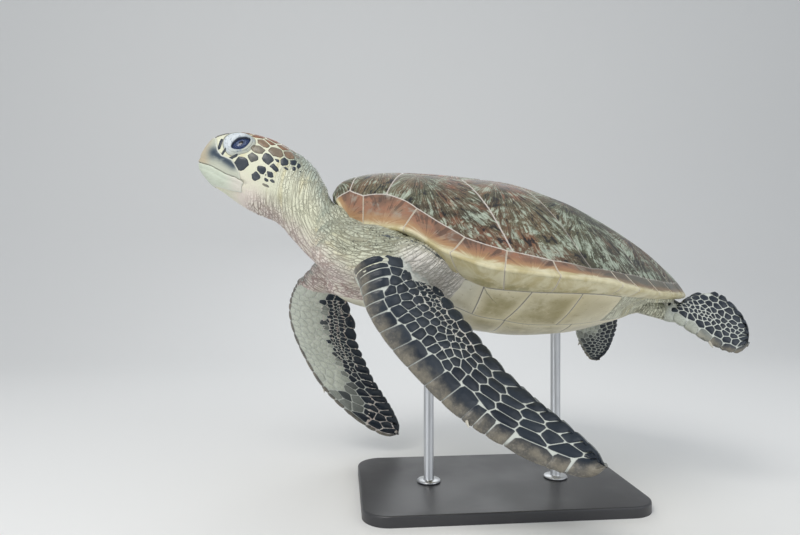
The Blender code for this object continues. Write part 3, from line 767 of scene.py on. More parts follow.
def rim_scutes():
    """Folds the nuchal and the marginals over the rim, each between its two seams."""
    mat = horn_of_the_rim()
    rim_x = np.linspace(0, 1, 161)
    rim = np.column_stack([rim_x, curve(HALF_WIDTH, rim_x)])
    rim = np.vstack([rim, [(1, .02), (1, .01), (1, 0)]])
    nuchal_outer = [(0, -.078), (-.010, -.045), (-.0100, 0), (-.010, .045), (0, .078)]
    nuchal_inner = [(.034, -.082), (.054, 0), (.034, .082)]
    nuchal = rim_plate("scute_nuchal", nuchal_inner, nuchal_outer, back_horn)
    held(nuchal, "carapace_scute", "nuchal")
    cuts = [(INNER_SEAM[0][0], 0)] + list(MARGINAL_SEAMS) + [(.968, 1.1)]
    groups = ("front",) * 3 + ("bridge",) * 4 + ("rear",) * 5
    for hand, word in ((-1, "left"), (1, "right")):
        done = set()
        for n in range(12):
            (in_a, out_a), (in_b, out_b) = cuts[n], cuts[n + 1]
            inner = [p for p in INNER_SEAM if in_a - 1e-6 <= p[0] <= in_b + 1e-6]
            between = (rim[:, 0] > out_a) & (rim[:, 0] < out_b)
            outer = [(out_a, float(curve(HALF_WIDTH, out_a)))] + [tuple(p) for p in rim[between]]
            if n < 11:
                outer.append((out_b, float(curve(HALF_WIDTH, out_b))))
            inner = [(x, y * hand) for x, y in inner]
            outer = [(x, y * hand) for x, y in outer]
            scute = rim_plate("scute_marginal_%s_%02d" % (word, n + 1), inner, outer, mat)
            node = "marginals_%s_%s" % (word, groups[n])
            held(scute, "marginal_scute", *([] if node in done else [node]))
            done.add(node)


rim_scutes()

# ---------------------------------------------------------------- plastron and bridges
# The flat under-shell: six pairs of cream scutes that meet on the midline, and four more along
# each bridge up to the marginals. Their horn is thin, so olive stains of the bone show through.
KEEL = ((.010, -.076), (.024, -.094), (.062, -.112), (.11, -.122), (.20, -.132), (.30, -.146),
        (.39, -.156), (.47, -.160), (.61, -.146), (.75, -.104), (.86, -.055), (.93, -.032), (1, -.024))
BELLY_WIDTH = ((0, .160), (.10, .205), (.20, .262), (.30, .300), (.36, .318))
BELLY_TOP = ((0, -.030), (.10, -.030), (.20, -.026), (.30, -.026))
PLASTRON_EDGE = ((.014, .0), (.020, .045), (.048, .095), (.130, .135), (.200, .165), (.272, .212),
                 (.300, .228), (.430, .236), (.600, .226), (.680, .205), (.740, .165), (.800, .118),
                 (.870, .070), (.900, .035), (.908, .0))
PLASTRON_SEAMS = (("gular", .010, .130), ("humeral", .130, .272), ("pectoral", .272, .430),
                  ("abdominal", .430, .600), ("femoral", .600, .800), ("anal", .800, .920))
BRIDGE_CUTS = ((.302, .272), (.352, .350), (.458, .428), (.575, .560), (.690, .680))


def belly(x, y):
    """Height of the under-shell's outer face."""
    share = np.clip((np.asarray(x, float) - .28) / .08, 0, 1)
    half = curve(BELLY_WIDTH, x) * (1 - share) + (seam_width(x) + .003) * share
    top = curve(BELLY_TOP, x) * (1 - share) + lip(x) * share
    keel = curve(KEEL, x)
    t = np.minimum(1, np.abs(y) / half)
    return keel + (top - keel) * t ** 2.7 + INSIDE


def horn_of_the_belly():
    """Cream horn with a faint olive stain that stays clear of the dark seams."""
    mat = new_finish("plastron_horn", .38, specular=.5, coat=.2, coat_roughness=.2)
    place, seam = place_of(mat), read(mat, "seam")
    cloud = noise(place, 10, 4, .55)
    fine = noise(place, 70, 5, .65)
    tone = steps(cloud, ((.32, (.600, .530, .330)), (.52, (.700, .640, .440)), (.68, (.740, .700, .540))))
    stain = cloud * .7 + fine * .4
    stain = fade(stain, .74, .44) * fade(seam, .000, .016)
    x = parts(place)[0]
    middle = fade(x, -.075, -.045) * fade(x, .10, .05)
    tone = blend(fade(x, -.055, -.085, 0, .6), tone, (.740, .730, .640))
    tone = blend(stain * fade(middle, 0, 1, .38, .80), tone, (.330, .285, .140))
    fleck = fade(noise(place, 170, 3, .6), .60, .70, 0, .45)
    tone = blend(fleck, tone, (.300, .240, .110))
    tone = blend(fade(seam, .0022, .0010, 0, .45), tone, (.70, .66, .56))
    tone = blend(fade(seam, .0010, .0004, 0, .85), tone, (.17, .16, .14))
    wear = bump(noise(place, 380, 3), .0002, .35)
    surface(mat, colour=tone, roughness=fade(cloud, .35, .65, .32, .48), normal=wear)
    return mat


def under_shell():
    """Lays the six pairs of plates on the belly and the bridges up its sides."""
    mat = horn_of_the_belly()
    for name, x0, x1 in PLASTRON_SEAMS:
        inside = [p for p in PLASTRON_EDGE if x0 - 1e-6 <= p[0] <= x1 + 1e-6]
        ends = [(max(x0, PLASTRON_EDGE[0][0]), 0), (min(x1, PLASTRON_EDGE[-1][0]), 0)]
        for hand, word in ((-1, "left"), (1, "right")):
            ring = ([p for p in ends[:1] if p not in inside] + inside
                    + [p for p in ends[1:] if p not in inside])
            ring = [(x, y * hand) for x, y in ring]
            scute = plan_plate("scute_%s_%s" % (name, word), ring, belly, (x1, .1 * hand), mat, -1, .004)
            held(scute, "plastron_scute", *(["plastron_" + name] if hand < 0 else []))
    seam = [p for p in PLASTRON_EDGE if .27 <= p[0] <= .69]

    def upper_edge(x):
        return x, float(seam_width(x)) + .0015

    rim = [upper_edge(x) for x in np.linspace(.302, .690, 24)]
    for hand, word in ((-1, "left"), (1, "right")):
        for n, ((out_a, in_a), (out_b, in_b)) in enumerate(zip(BRIDGE_CUTS, BRIDGE_CUTS[1:])):
            inner_y = np.interp([in_a, in_b], *np.array(PLASTRON_EDGE[1:-1]).T)
            outer = [upper_edge(out_a)] + [p for p in rim if out_a < p[0] < out_b] + [upper_edge(out_b)]
            inner = ([(in_b, inner_y[1])] + [p for p in seam[::-1] if in_a < p[0] < in_b]
                     + [(in_a, inner_y[0])])
            ring = [(x, y * hand) for x, y in outer + inner]
            scute = plan_plate("scute_bridge_%s_%d" % (word, n + 1), ring, belly, (in_b, .3 * hand), mat,
                               -1, .004)
            held(scute, "plastron_scute", *(["bridge_" + word] if n == 0 else []))


under_shell()

# ---------------------------------------------------------------- skin: the forms under it
# Head, neck, limbs and tail are each a run of rounded sections. The same sections make the one
# skin and, unrolled, the sheets on which its scales are laid out.
HEAD = (((-.3690, .232), (-.3680, .206), .010), ((-.360, .258), (-.353, .187), .028),
        ((-.338, .290), (-.330, .168), .043), ((-.302, .309), (-.292, .146), .056),
        ((-.262, .3165), (-.250, .121), .066), ((-.218, .314), (-.208, .104), .073),
        ((-.175, .303), (-.178, .095), .077), ((-.138, .286), (-.154, .088), .078))
NECK = (((-.097, .266), (-.126, .066), .081), ((-.060, .236), (-.098, .040), .090),
        ((-.031, .190), (-.062, .008), .108), ((-.012, .152), (-.024, -.026), .130),
        ((.020, .126), (.016, -.062), .146))
FRONT_LEFT = (
    ((.026, -.13, .010), (.028, -.22, .014), (.046, -.300, .006), (.074, -.342, -.044),
     (.096, -.362, -.105), (.138, -.380, -.164), (.205, -.402, -.230), (.290, -.428, -.298),
     (.380, -.452, -.345), (.470, -.474, -.380), (.540, -.494, -.390), (.583, -.512, -.374)),
    ((.226, -.13, .004), (.222, -.20, .008), (.212, -.258, -.002), (.220, -.274, -.024),
     (.260, -.280, -.050), (.300, -.290, -.088), (.346, -.305, -.140), (.405, -.337, -.206),
     (.470, -.382, -.262), (.530, -.422, -.303), (.575, -.460, -.338), (.592, -.490, -.360)),
    (.130, .126, .115, .095, .080, .062, .046, .036, .028, .021, .015, .009), 3)
FRONT_RIGHT = (
    ((-.010, .12, .030), (-.028, .18, .010), (-.064, .222, -.040), (-.104, .243, -.092),
     (-.116, .256, -.160), (-.100, .268, -.228), (-.060, .285, -.308), (.002, .300, -.398),
     (.080, .317, -.472), (.160, .331, -.527), (.218, .343, -.554), (.258, .354, -.560)),
    ((.160, .12, -.010), (.130, .18, -.040), (.085, .228, -.078), (.062, .250, -.118),
     (.090, .270, -.190), (.103, .287, -.250), (.134, .303, -.310), (.166, .318, -.368),
     (.205, .333, -.420), (.241, .346, -.470), (.266, .358, -.515), (.276, .362, -.545)),
    (.150, .130, .105, .085, .068, .055, .044, .036, .028, .021, .015, .009), 3)
REAR_LEFT = (
    ((.790, -.145, -.050), (.840, -.155, -.058), (.880, -.160, -.068), (.914, -.163, -.086),
     (.966, -.182, -.117), (1.020, -.198, -.141), (1.062, -.204, -.144)),
    ((.830, -.070, -.044), (.880, -.080, -.050), (.930, -.096, -.050), (.976, -.112, -.002),
     (1.034, -.130, .004), (1.083, -.158, -.046), (1.098, -.182, -.100)),
    (.036, .040, .040, .034, .026, .018, .009), 3)
REAR_RIGHT = (
    ((.745, .150, -.040), (.752, .172, -.080), (.770, .190, -.126), (.795, .216, -.168),
     (.820, .238, -.200), (.848, .257, -.229), (.870, .265, -.247)),
    ((.866, .105, -.035), (.876, .125, -.062), (.885, .140, -.092), (.893, .155, -.126),
     (.897, .180, -.162), (.897, .207, -.200), (.890, .236, -.235)),
    (.055, .058, .050, .040, .028, .018, .009), 3)
LIMBS = {"front_left": FRONT_LEFT, "front_right": FRONT_RIGHT, "rear_left": REAR_LEFT,
         "rear_right": REAR_RIGHT}
TAIL = ((.925, -.040, .024), (.9500, -.044, .0195), (.985, -.048, .018), (1.02, -.056, .012),
        (1.046, -.064, .004))
BLADE_SECTION = ((0, 0), (.2646, .62), (.5, 1), (.7416, .82), (.9055, .38), (1, 0))


def local(points):
    """Points of the row frame in the shell's frame; the inverse of world()."""
    p = np.asarray(points, float) - (-BALANCE * SHELL * math.cos(TRIM), 0, MARGIN_HEIGHT)
    c, s = math.cos(TRIM), math.sin(TRIM)
    return np.stack([p[..., 0] * c - p[..., 2] * s, p[..., 1], p[..., 2] * c + p[..., 0] * s], -1) / SHELL


def flowing(values, t):
    """A smooth run through a list of values or points, at places t counted in list steps."""
    v = np.asarray(values, float)
    v = v.reshape(len(v), -1)
    t = np.clip(np.asarray(t, float), 0, len(v) - 1)
    i = np.minimum(t.astype(int), len(v) - 2)
    f = (t - i)[:, None]
    before = np.vstack([2 * v[0] - v[1], v, 2 * v[-1] - v[-2]])
    p0, p1, p2, p3 = before[i], before[i + 1], before[i + 2], before[i + 3]
    return (p1 + .5 * f * (p2 - p0 + f * (2 * p0 - 5 * p1 + 4 * p2 - p3 + f * (3 * (p1 - p2) + p3 - p0))))


def limb_sections(table, fine=10, around=64):
    """Sections of a limb, round near the body: columns run from the trailing edge over the lower
    face to the leading edge and back over the upper face."""
    lead, trail, thick, split = table
    t = np.linspace(0, len(lead) - 1, (len(lead) - 1) * fine + 1)
    a, b, high = flowing(lead, t), flowing(trail, t), flowing(thick, t)[:, 0]
    span = np.gradient((a + b) / 2, axis=0)
    normal = np.cross(span, b - a)
    normal /= np.linalg.norm(normal, axis=1)[:, None]
    rounded = np.clip(1 - t / (split + .5), 0, 1)[:, None]
    w = np.linspace(-1, 1, around + 1)[None]
    chord = w ** 2
    foil = curve(BLADE_SECTION, np.abs(w))
    foil = foil + (np.sqrt(np.maximum(0, 1 - (2 * chord - 1) ** 2)) - foil) * rounded
    height = np.sign(w) * foil * high[:, None] / 2
    return world(a[:, None] + (b - a)[:, None] * chord[..., None] + normal[:, None] * height[..., None])


def head_sections(fine=8, around=96):
    """Sections of the head and neck; the middle column is the line over the top."""
    sections = HEAD + NECK
    t = np.linspace(0, len(sections) - 1, (len(sections) - 1) * fine + 1)
    top = flowing([s[0] for s in sections], t)
    low = flowing([s[1] for s in sections], t)
    half = flowing([s[2] for s in sections], t)[:, 0]
    a = np.linspace(-math.pi, math.pi, around + 1)[None]
    up = (np.sign(np.cos(a)) * np.abs(np.cos(a)) ** (2 / 2.3) + 1) / 2
    out = np.sign(np.sin(a)) * np.abs(np.sin(a)) ** (2 / 2.3)
    x = low[:, :1] + (top - low)[:, :1] * up
    z = low[:, 1:] + (top - low)[:, 1:] * up
    return world(np.stack([x, half[:, None] * out, z], -1))


def tail_sections():
    t = np.linspace(0, len(TAIL) - 1, 25)
    x, z, radius = flowing(TAIL, t).T
    a = np.linspace(-math.pi, math.pi, 33)[None]
    shape = [np.broadcast_to(x[:, None], (25, 33)), radius[:, None] * 1.1 * np.sin(a),
             z[:, None] + radius[:, None] * np.cos(a)]
    return world(np.stack(shape, -1))


def rounded_end(rows, length):
    """Sections drawn in towards the end of a limb, so that its tip is round."""
    middles = rows.mean(1)
    left = np.r_[np.cumsum(np.linalg.norm(np.diff(middles, axis=0), axis=1)[::-1])[::-1], 0]
    share = np.sqrt(np.maximum(1 - np.clip(1 - left / length, 0, 1) ** 2, .012))
    edge = (rows[:, len(rows[0]) // 2] + rows[:, 0]) / 2
    return edge[:, None] + (rows - edge[:, None]) * share[:, None, None]


def tube(rows, ends=2):
    """Points and faces of a body through rings of points, with one or both of its ends closed."""
    n, m = rows.shape[:2]
    faces = [(i * m + j, i * m + (j + 1) % m, (i + 1) * m + (j + 1) % m, (i + 1) * m + j)
             for i in range(n - 1) for j in range(m)]
    faces += [tuple(range(m))[::-1], tuple((n - 1) * m + j for j in range(m))][:ends]
    return rows.reshape(-1, 3), faces


head_rows = head_sections()
limb_rows = {name: rounded_end(limb_sections(table), .016 if "front" in name else .010)
             for name, table in LIMBS.items()}

# ---------------------------------------------------------------- skin: one hide over all of it
# A single hide with no seam covers head, neck, limbs and body. It is soft and loose, creased
# round the throat, folded from the neck to the shoulders, and thick in the lids round each eye.
VOXEL = .0021
HIDE_FACES = 150000
EYE_MIDDLE = (-.2555, .2765)            # the opening's middle, seen from the side
EYE_HALF = (.0268, .0165)
EYE_TILT = math.radians(31)
EYE_OUT = (-.10, .86, .50)              # the way the left eye looks, mirrored for the right
LID_REACH, LID_THICK, EYE_DEPTH = .0355, .0034, .0110
FOLD_CENTRE = (.09, .16)                # the folds of neck and shoulder curve round this
MOUTH_LINE = ((-.3695, .2235), (-.352, .218), (-.329, .213), (-.306, .203), (-.284, .193), (-.260, .187),
              (-.243, .179), (-.233, .174))
BELLY_FOLDS = (PLASTRON_EDGE[:6] + ((.302, .298),), ((.690, .292),) + PLASTRON_EDGE[9:])
NODES_OF_FLESH = ("head", "lower_jaw", "neck", "trunk", "tail", "upper_arm_left", "upper_arm_right",
                  "thigh_left", "thigh_right", "flipper_front_left", "flipper_front_right",
                  "flipper_rear_left", "flipper_rear_right")


def joined_flesh():
    """Every form of flesh in one mesh object, as closed bodies that overlap."""
    bm = bmesh.new()
    for rows in [head_rows, tail_sections(), *limb_rows.values()]:
        points, faces = tube(rows[:, :-1])
        verts = [bm.verts.new(p) for p in points]
        own = [bm.faces.new([verts[i] for i in face]) for face in faces]
        bmesh.ops.recalc_face_normals(bm, faces=own)
    trunk = bmesh.new()
    trunk.from_mesh(frame["nodes"]["trunk"].data)
    bmesh.ops.remove_doubles(trunk, verts=trunk.verts, dist=.00002)
    bmesh.ops.recalc_face_normals(trunk, faces=trunk.faces)
    copy = bpy.data.meshes.new("trunk_copy")
    trunk.to_mesh(copy)
    trunk.free()
    bm.from_mesh(copy)
    for side in (-1, 1):
        for middle, radii in (((.100, .235, .035), (.115, .080, .052)),
                              ((.085, .215, .010), (.12, .09, .06)),
                              ((.040, .100, .070), (.085, .085, .075)),
                              ((.060, .165, .040), (.10, .09, .065)),
                              ((.205, .248, .018), (.115, .085, .052))):
            for v in bmesh.ops.create_icosphere(bm, subdivisions=4, radius=1)["verts"]:
                v.co = world([middle[0] + v.co.x * radii[0], side * (middle[1] + v.co.y * radii[1]),
                              middle[2] + v.co.z * radii[2]])
        # a soft fold of flesh all along the open edges of the under-shell
        for edge in BELLY_FOLDS:
            for x, y in along_path(edge, np.linspace(0, 1, 34)):
                middle = Vector(world([x, side * y, float(belly(x, y)) + .0205]))
                bmesh.ops.create_icosphere(bm, subdivisions=2, radius=.020 * SHELL,
                                           matrix=Matrix.Translation(middle))
    mesh = bpy.data.meshes.new("hide")
    bm.to_mesh(mesh)
    bm.free()
    obj = bpy.data.objects.new("hide", mesh)
    bpy.context.scene.collection.objects.link(obj)
    return obj


def settle(obj):
    """Turns the object with its modifiers into a plain mesh."""
    graph = bpy.context.evaluated_depsgraph_get()
    mesh = bpy.data.meshes.new_from_object(obj.evaluated_get(graph))
    obj.modifiers.clear()
    obj.data = mesh
    return mesh


def numbers(items, key, kind=np.int32, width=1):
    """One number, or a row of width numbers, from each of a mesh's items."""
    flat = np.empty(len(items) * width, kind)
    items.foreach_get(key, flat)
    return flat.reshape(-1, width) if width > 1 else flat


def points_of(mesh, what="vertices", key="co"):
    return numbers(getattr(mesh, what), key, np.float32, 3).astype(float)


def place_points(mesh, points):
    mesh.vertices.foreach_set("co", np.asarray(points, np.float32).ravel())
    mesh.update()


def relaxed(mesh, points, rounds, share):
    """Points moved towards the mean of their neighbours; share may differ from point to point."""
    a, b = numbers(mesh.edges, "vertices", width=2).T
    ends, others = np.r_[a, b], np.r_[b, a]
    count = np.bincount(ends, minlength=len(points))[:, None]
    for turn in range(rounds):
        total = np.stack([np.bincount(ends, points[others, k], len(points)) for k in range(3)], 1)
        points = points + (total / count - points) * np.reshape(share, (-1, 1))
    return points


def under_the_rim(points):
    """Presses the hide's points down to where the shell's front rim and roof leave them room."""
    p = local(points)
    x, y, z = p.T
    half = curve(HALF_WIDTH, x)
    roof = np.where(np.abs(y) < half - .035, dome(x, y) - .030, curve(MARGIN, x) - .010)
    low = np.minimum(z, roof)
    share = smooth(x, -.010, .004) * smooth(.42 - x, 0, .05) * (np.abs(y) < half + .01)
    p[:, 2] = z + (low - z) * share
    return world(p)


def in_shell(p):
    """0 where a point of the hide may be seen, 1 where the shell hides it."""
    under = smooth(dome(p[:, 0], p[:, 1]) - p[:, 2], 0, .02)
    within = smooth(seam_width(p[:, 0]) + .01 - np.abs(p[:, 1]), 0, .03)
    return under * within * smooth(p[:, 0], .20, .27) * smooth(p[:, 0], .90, .86)


# where each limb's scales start, counted in the stations of its table
SCALED_FROM = {"front_left": 2.5, "front_right": 2.6, "rear_left": 1.7, "rear_right": 1.5}


def blade_points():
    """The limbs' own surfaces beyond the start of their scales, ready for finding the nearest."""
    some = []
    for name, rows in limb_rows.items():
        first = int(SCALED_FROM[name] / (len(LIMBS[name][0]) - 1) * (len(rows) - 1))
        some.append(local(rows[first:, ::2]).reshape(-1, 3))
    some = np.vstack(some).tolist()
    tree = KDTree(len(some))
    for k, point in enumerate(some):
        tree.insert(point, k)
    tree.balance()
    return tree


BLADES = blade_points()


def on_blade(p):
    """1 on the scaled part of the flippers, 0 on the body."""
    total = np.zeros(len(p))
    for name, table in LIMBS.items():
        middles = (np.array(table[0]) + np.array(table[1])) / 2
        start = flowing(middles, [SCALED_FROM[name]])[0]
        on = flowing(middles, [SCALED_FROM[name] + 1.6])[0] - start
        on /= np.linalg.norm(on)
        beyond = (p - start) @ on
        near = np.linalg.norm(p - start - beyond[:, None] * on, axis=1)
        side = 1 if name.endswith("right") else -1
        inside = (.185, .215, .118) if name.startswith("front") else (.03, .05, .10)
        own = smooth(beyond, -.012, .010) * smooth(p[:, 1] * side, *inside[:2])
        own = own * smooth(inside[2] + .05 * (beyond > .06) - near, -.008, .008)
        total = np.maximum(total, own)
    for k in np.nonzero(total)[0].tolist():
        total[k] *= smooth(BLADES.find(p[k])[2], .011, .005)
    return total


def eye_frame(p):
    """For each point: the side it is on, its polar place round that side's eye, and the opening there."""
    side = np.where(p[:, 1] < 0, -1, 1)
    x, z = p[:, 0] - EYE_MIDDLE[0], p[:, 2] - EYE_MIDDLE[1]
    along = x * math.cos(EYE_TILT) + z * math.sin(EYE_TILT)
    up = z * math.cos(EYE_TILT) - x * math.sin(EYE_TILT)
    far, angle = np.hypot(along, up), np.arctan2(up, along)
    opening = (np.abs(np.cos(angle) / EYE_HALF[0]) ** 1.65
               + np.abs(np.sin(angle) / EYE_HALF[1]) ** 1.65) ** (-1 / 1.65)
    level = angle + EYE_TILT
    reach = LID_REACH + .003 * np.cos(2 * (level - math.radians(10))) + .003 * np.cos(level - math.pi)
    reach += .0070 * np.maximum(0, np.cos(level - 3.3)) - .003 * np.maximum(0, -np.sin(level))
    reach += .0012 * np.sin(3 * level + 1) + .0008 * np.sin(5 * level)
    share = (far - opening) / np.maximum(reach - opening, .003)
    share = np.where((p[:, 0] < -.17) & (p[:, 2] > .19), share, 9)
    return side, share, angle


def lid_rise(share, angle):
    """Height of the lids over the head, in metres; the opening sinks behind them."""
    crest = np.interp(share, (-.06, 0, .12, .34, .62, .86, .97, 1.12), (.10, .42, .80, 1, .78, .26, -.14, 0))
    rise = LID_THICK * crest * (1 + .25 * np.sin(angle))
    crease = .0009 * np.exp(-((share - .55) / .07) ** 2) + .0006 * np.exp(-((share - .24) / .05) ** 2)
    sunk = EYE_DEPTH * smooth(-share, .02, .16)
    return np.where(share < 1.12, rise - crease * (1 - .8 * np.minimum(0, np.sin(angle))) - sunk, 0)


def loose_share(p):
    """How loose the hide is: tight on the head, loose on the neck, throat, shoulders and groin."""
    neck = smooth(p[:, 0] + .018 * lumps(p, 14, 21), -.185, -.090) * smooth(p[:, 0], .42, .30)
    throat = smooth(p[:, 0], -.25, -.20) * smooth(.17 - p[:, 2] + (p[:, 0] + .2) * .2, 0, .05)
    groin = smooth(p[:, 0], .78, .84) * .6
    return np.maximum(np.maximum(neck, throat), groin) * (1 - on_blade(p))


def ridge(phase, sharp=.6):
    """Rounded folds with narrow creases between them, one to each whole step of phase."""
    return np.abs(np.sin(math.pi * phase)) ** sharp


def folds(p):
    """Height of the hide's folds, in metres."""
    x, y, z = p.T
    far = np.hypot(x - FOLD_CENTRE[0], z - FOLD_CENTRE[1])
    wander = lumps(p, 9, 11) * .010 + lumps(p, 24, 12) * .0035
    arcs = far + wander + np.abs(y) * .10
    low = smooth(-(z - .26 + .55 * (x + .14)), -.03, .06)
    neck = smooth(x + .018 * lumps(p, 14, 21), -.175, -.085) * smooth(x, .40, .26)
    big = ridge(arcs / .030) * .0026
    small = ridge(arcs / .0110 + lumps(p, 14, 13) * .5) * .0013
    lengthwise = neck * (big * (.45 + .55 * low) + small * (.55 + .45 * low)) * (.7 + .5 * lumps(p, 10, 14))
    throat = smooth(x, -.26, -.20) * smooth(x, -.10, -.13) * smooth(.165 - z + (x + .2) * .25, 0, .045)
    girdle = ridge((x * .75 - z * .66 + wander) / .0135) * .0007 + ridge((x * .5 + z + wander) / .019) * .0007
    soft = lumps(p, 34, 15) * .00075 + lumps(p, 70, 16) * .0004
    groin = smooth(x, .78, .84) * (ridge((x + wander) / .016) * .0008)
    return (lengthwise + throat * (girdle + soft) + groin + loose_share(p) * soft * .5) * (1 - on_blade(p))


def cut_finer(mesh, wanted, cuts):
    """Splits the marked faces' edges into cuts + 1."""
    bm = bmesh.new()
    bm.from_mesh(mesh)
    bm.faces.ensure_lookup_table()
    edges = {e for f in wanted for e in bm.faces[f].edges}
    bmesh.ops.subdivide_edges(bm, edges=list(edges), cuts=cuts, use_grid_fill=True)
    bmesh.ops.triangulate(bm, faces=[f for f in bm.faces if len(f.verts) > 4])
    bm.to_mesh(mesh)
    bm.free()


def hide_of_the_turtle():
    """Makes one hide of the forms, thins it where it is covered, and sinks and folds it."""
    skin = joined_flesh()
    remesh = skin.modifiers.new("hide", "REMESH")
    remesh.mode, remesh.voxel_size, remesh.adaptivity = "VOXEL", VOXEL, 0
    mesh = settle(skin)
    points = relaxed(mesh, under_the_rim(points_of(mesh)), 14, .55)
    place_points(mesh, points)
    p = local(points)
    finest = smooth(p[:, 0], -.02, -.16) * .2 + smooth(p[:, 0], .34, .24) * .8
    coarse = .62 - .62 * np.clip(finest, 0, 1)
    coarse = np.maximum(coarse, on_blade(p) * .62)
    coarse = np.maximum(coarse, in_shell(p) * .93)
    coarse = np.maximum(coarse, .93 * smooth(np.abs(p[:, 1]), .10, .02) * smooth(p[:, 0], .10, .16)
                        * smooth(p[:, 0], .88, .84))
    group = skin.vertex_groups.new(name="coarse")
    for level in range(20):
        which = np.nonzero((coarse * 20).astype(int) == level)[0]
        if len(which):
            group.add(which.tolist(), level / 20 + .01, "REPLACE")
    thin = skin.modifiers.new("thin", "DECIMATE")
    thin.ratio = HIDE_FACES / (2 * len(mesh.polygons))
    thin.vertex_group, thin.vertex_group_factor = "coarse", 1
    mesh = settle(skin)
    skin.vertex_groups.clear()
    middles = local(points_of(mesh, "polygons", "center"))
    cut_finer(mesh, np.nonzero(eye_frame(middles)[1] < 1.15)[0].tolist(), 2)
    points = points_of(mesh)
    p = local(points)
    side, share, angle = eye_frame(p)
    away = np.stack([np.full(len(p), EYE_OUT[0]), side * EYE_OUT[1], np.full(len(p), EYE_OUT[2])], 1)
    away = world(p + away) - points
    away /= np.linalg.norm(away, axis=1)[:, None]
    lid = lid_rise(share, angle)
    normal = points_of(mesh, "vertex_normals", "vector")
    rise = folds(p)
    mouth = np.exp(-(to_line(p[:, [0, 2]], MOUTH_LINE) * SHELL / .0022) ** 2)
    mouth = mouth * (np.abs(p[:, 1]) < .2) * (p[:, 0] < -.2)
    rise = rise - .0016 * mouth - .0004
    rise -= .0018 * smooth(p[:, 0], -.322, -.350) + .0019 * smooth(p[:, 2], .295, .325)
    points = points + normal * (rise * (share > 1.1))[:, None] + away * lid[:, None]
    place_points(mesh, points)
    mesh.shade_smooth()
    far = np.hypot(p[:, 0] - FOLD_CENTRE[0], p[:, 2] - FOLD_CENTRE[1])
    turn = np.arctan2(p[:, 2] - FOLD_CENTRE[1], -(p[:, 0] - FOLD_CENTRE[0]))
    flow = np.stack([turn * .2 * SHELL, (far + np.abs(p[:, 1]) * .10) * SHELL, p[:, 1] * SHELL], 1)
    store(skin, "flow", flow)
    store(skin, "lid", np.clip(1.4 - share, 0, 1.6))
    store(skin, "loose", loose_share(p))
    store(skin, "blade", on_blade(p))
    store(skin, "mouth", mouth)
    store(skin, "spot", p)
    tops = np.array([row[0] for row in HEAD + NECK])
    below = np.interp(p[:, 0], tops[:, 0], tops[:, 1]) - p[:, 2]
    nape = smooth(p[:, 0], -.150, -.115) * smooth(p[:, 0], .005, -.03) * smooth(below, .070, .010)
    store(skin, "stud", nape * (.35 + .65 * smooth(p[:, 0], -.02, -.10)))
    return skin


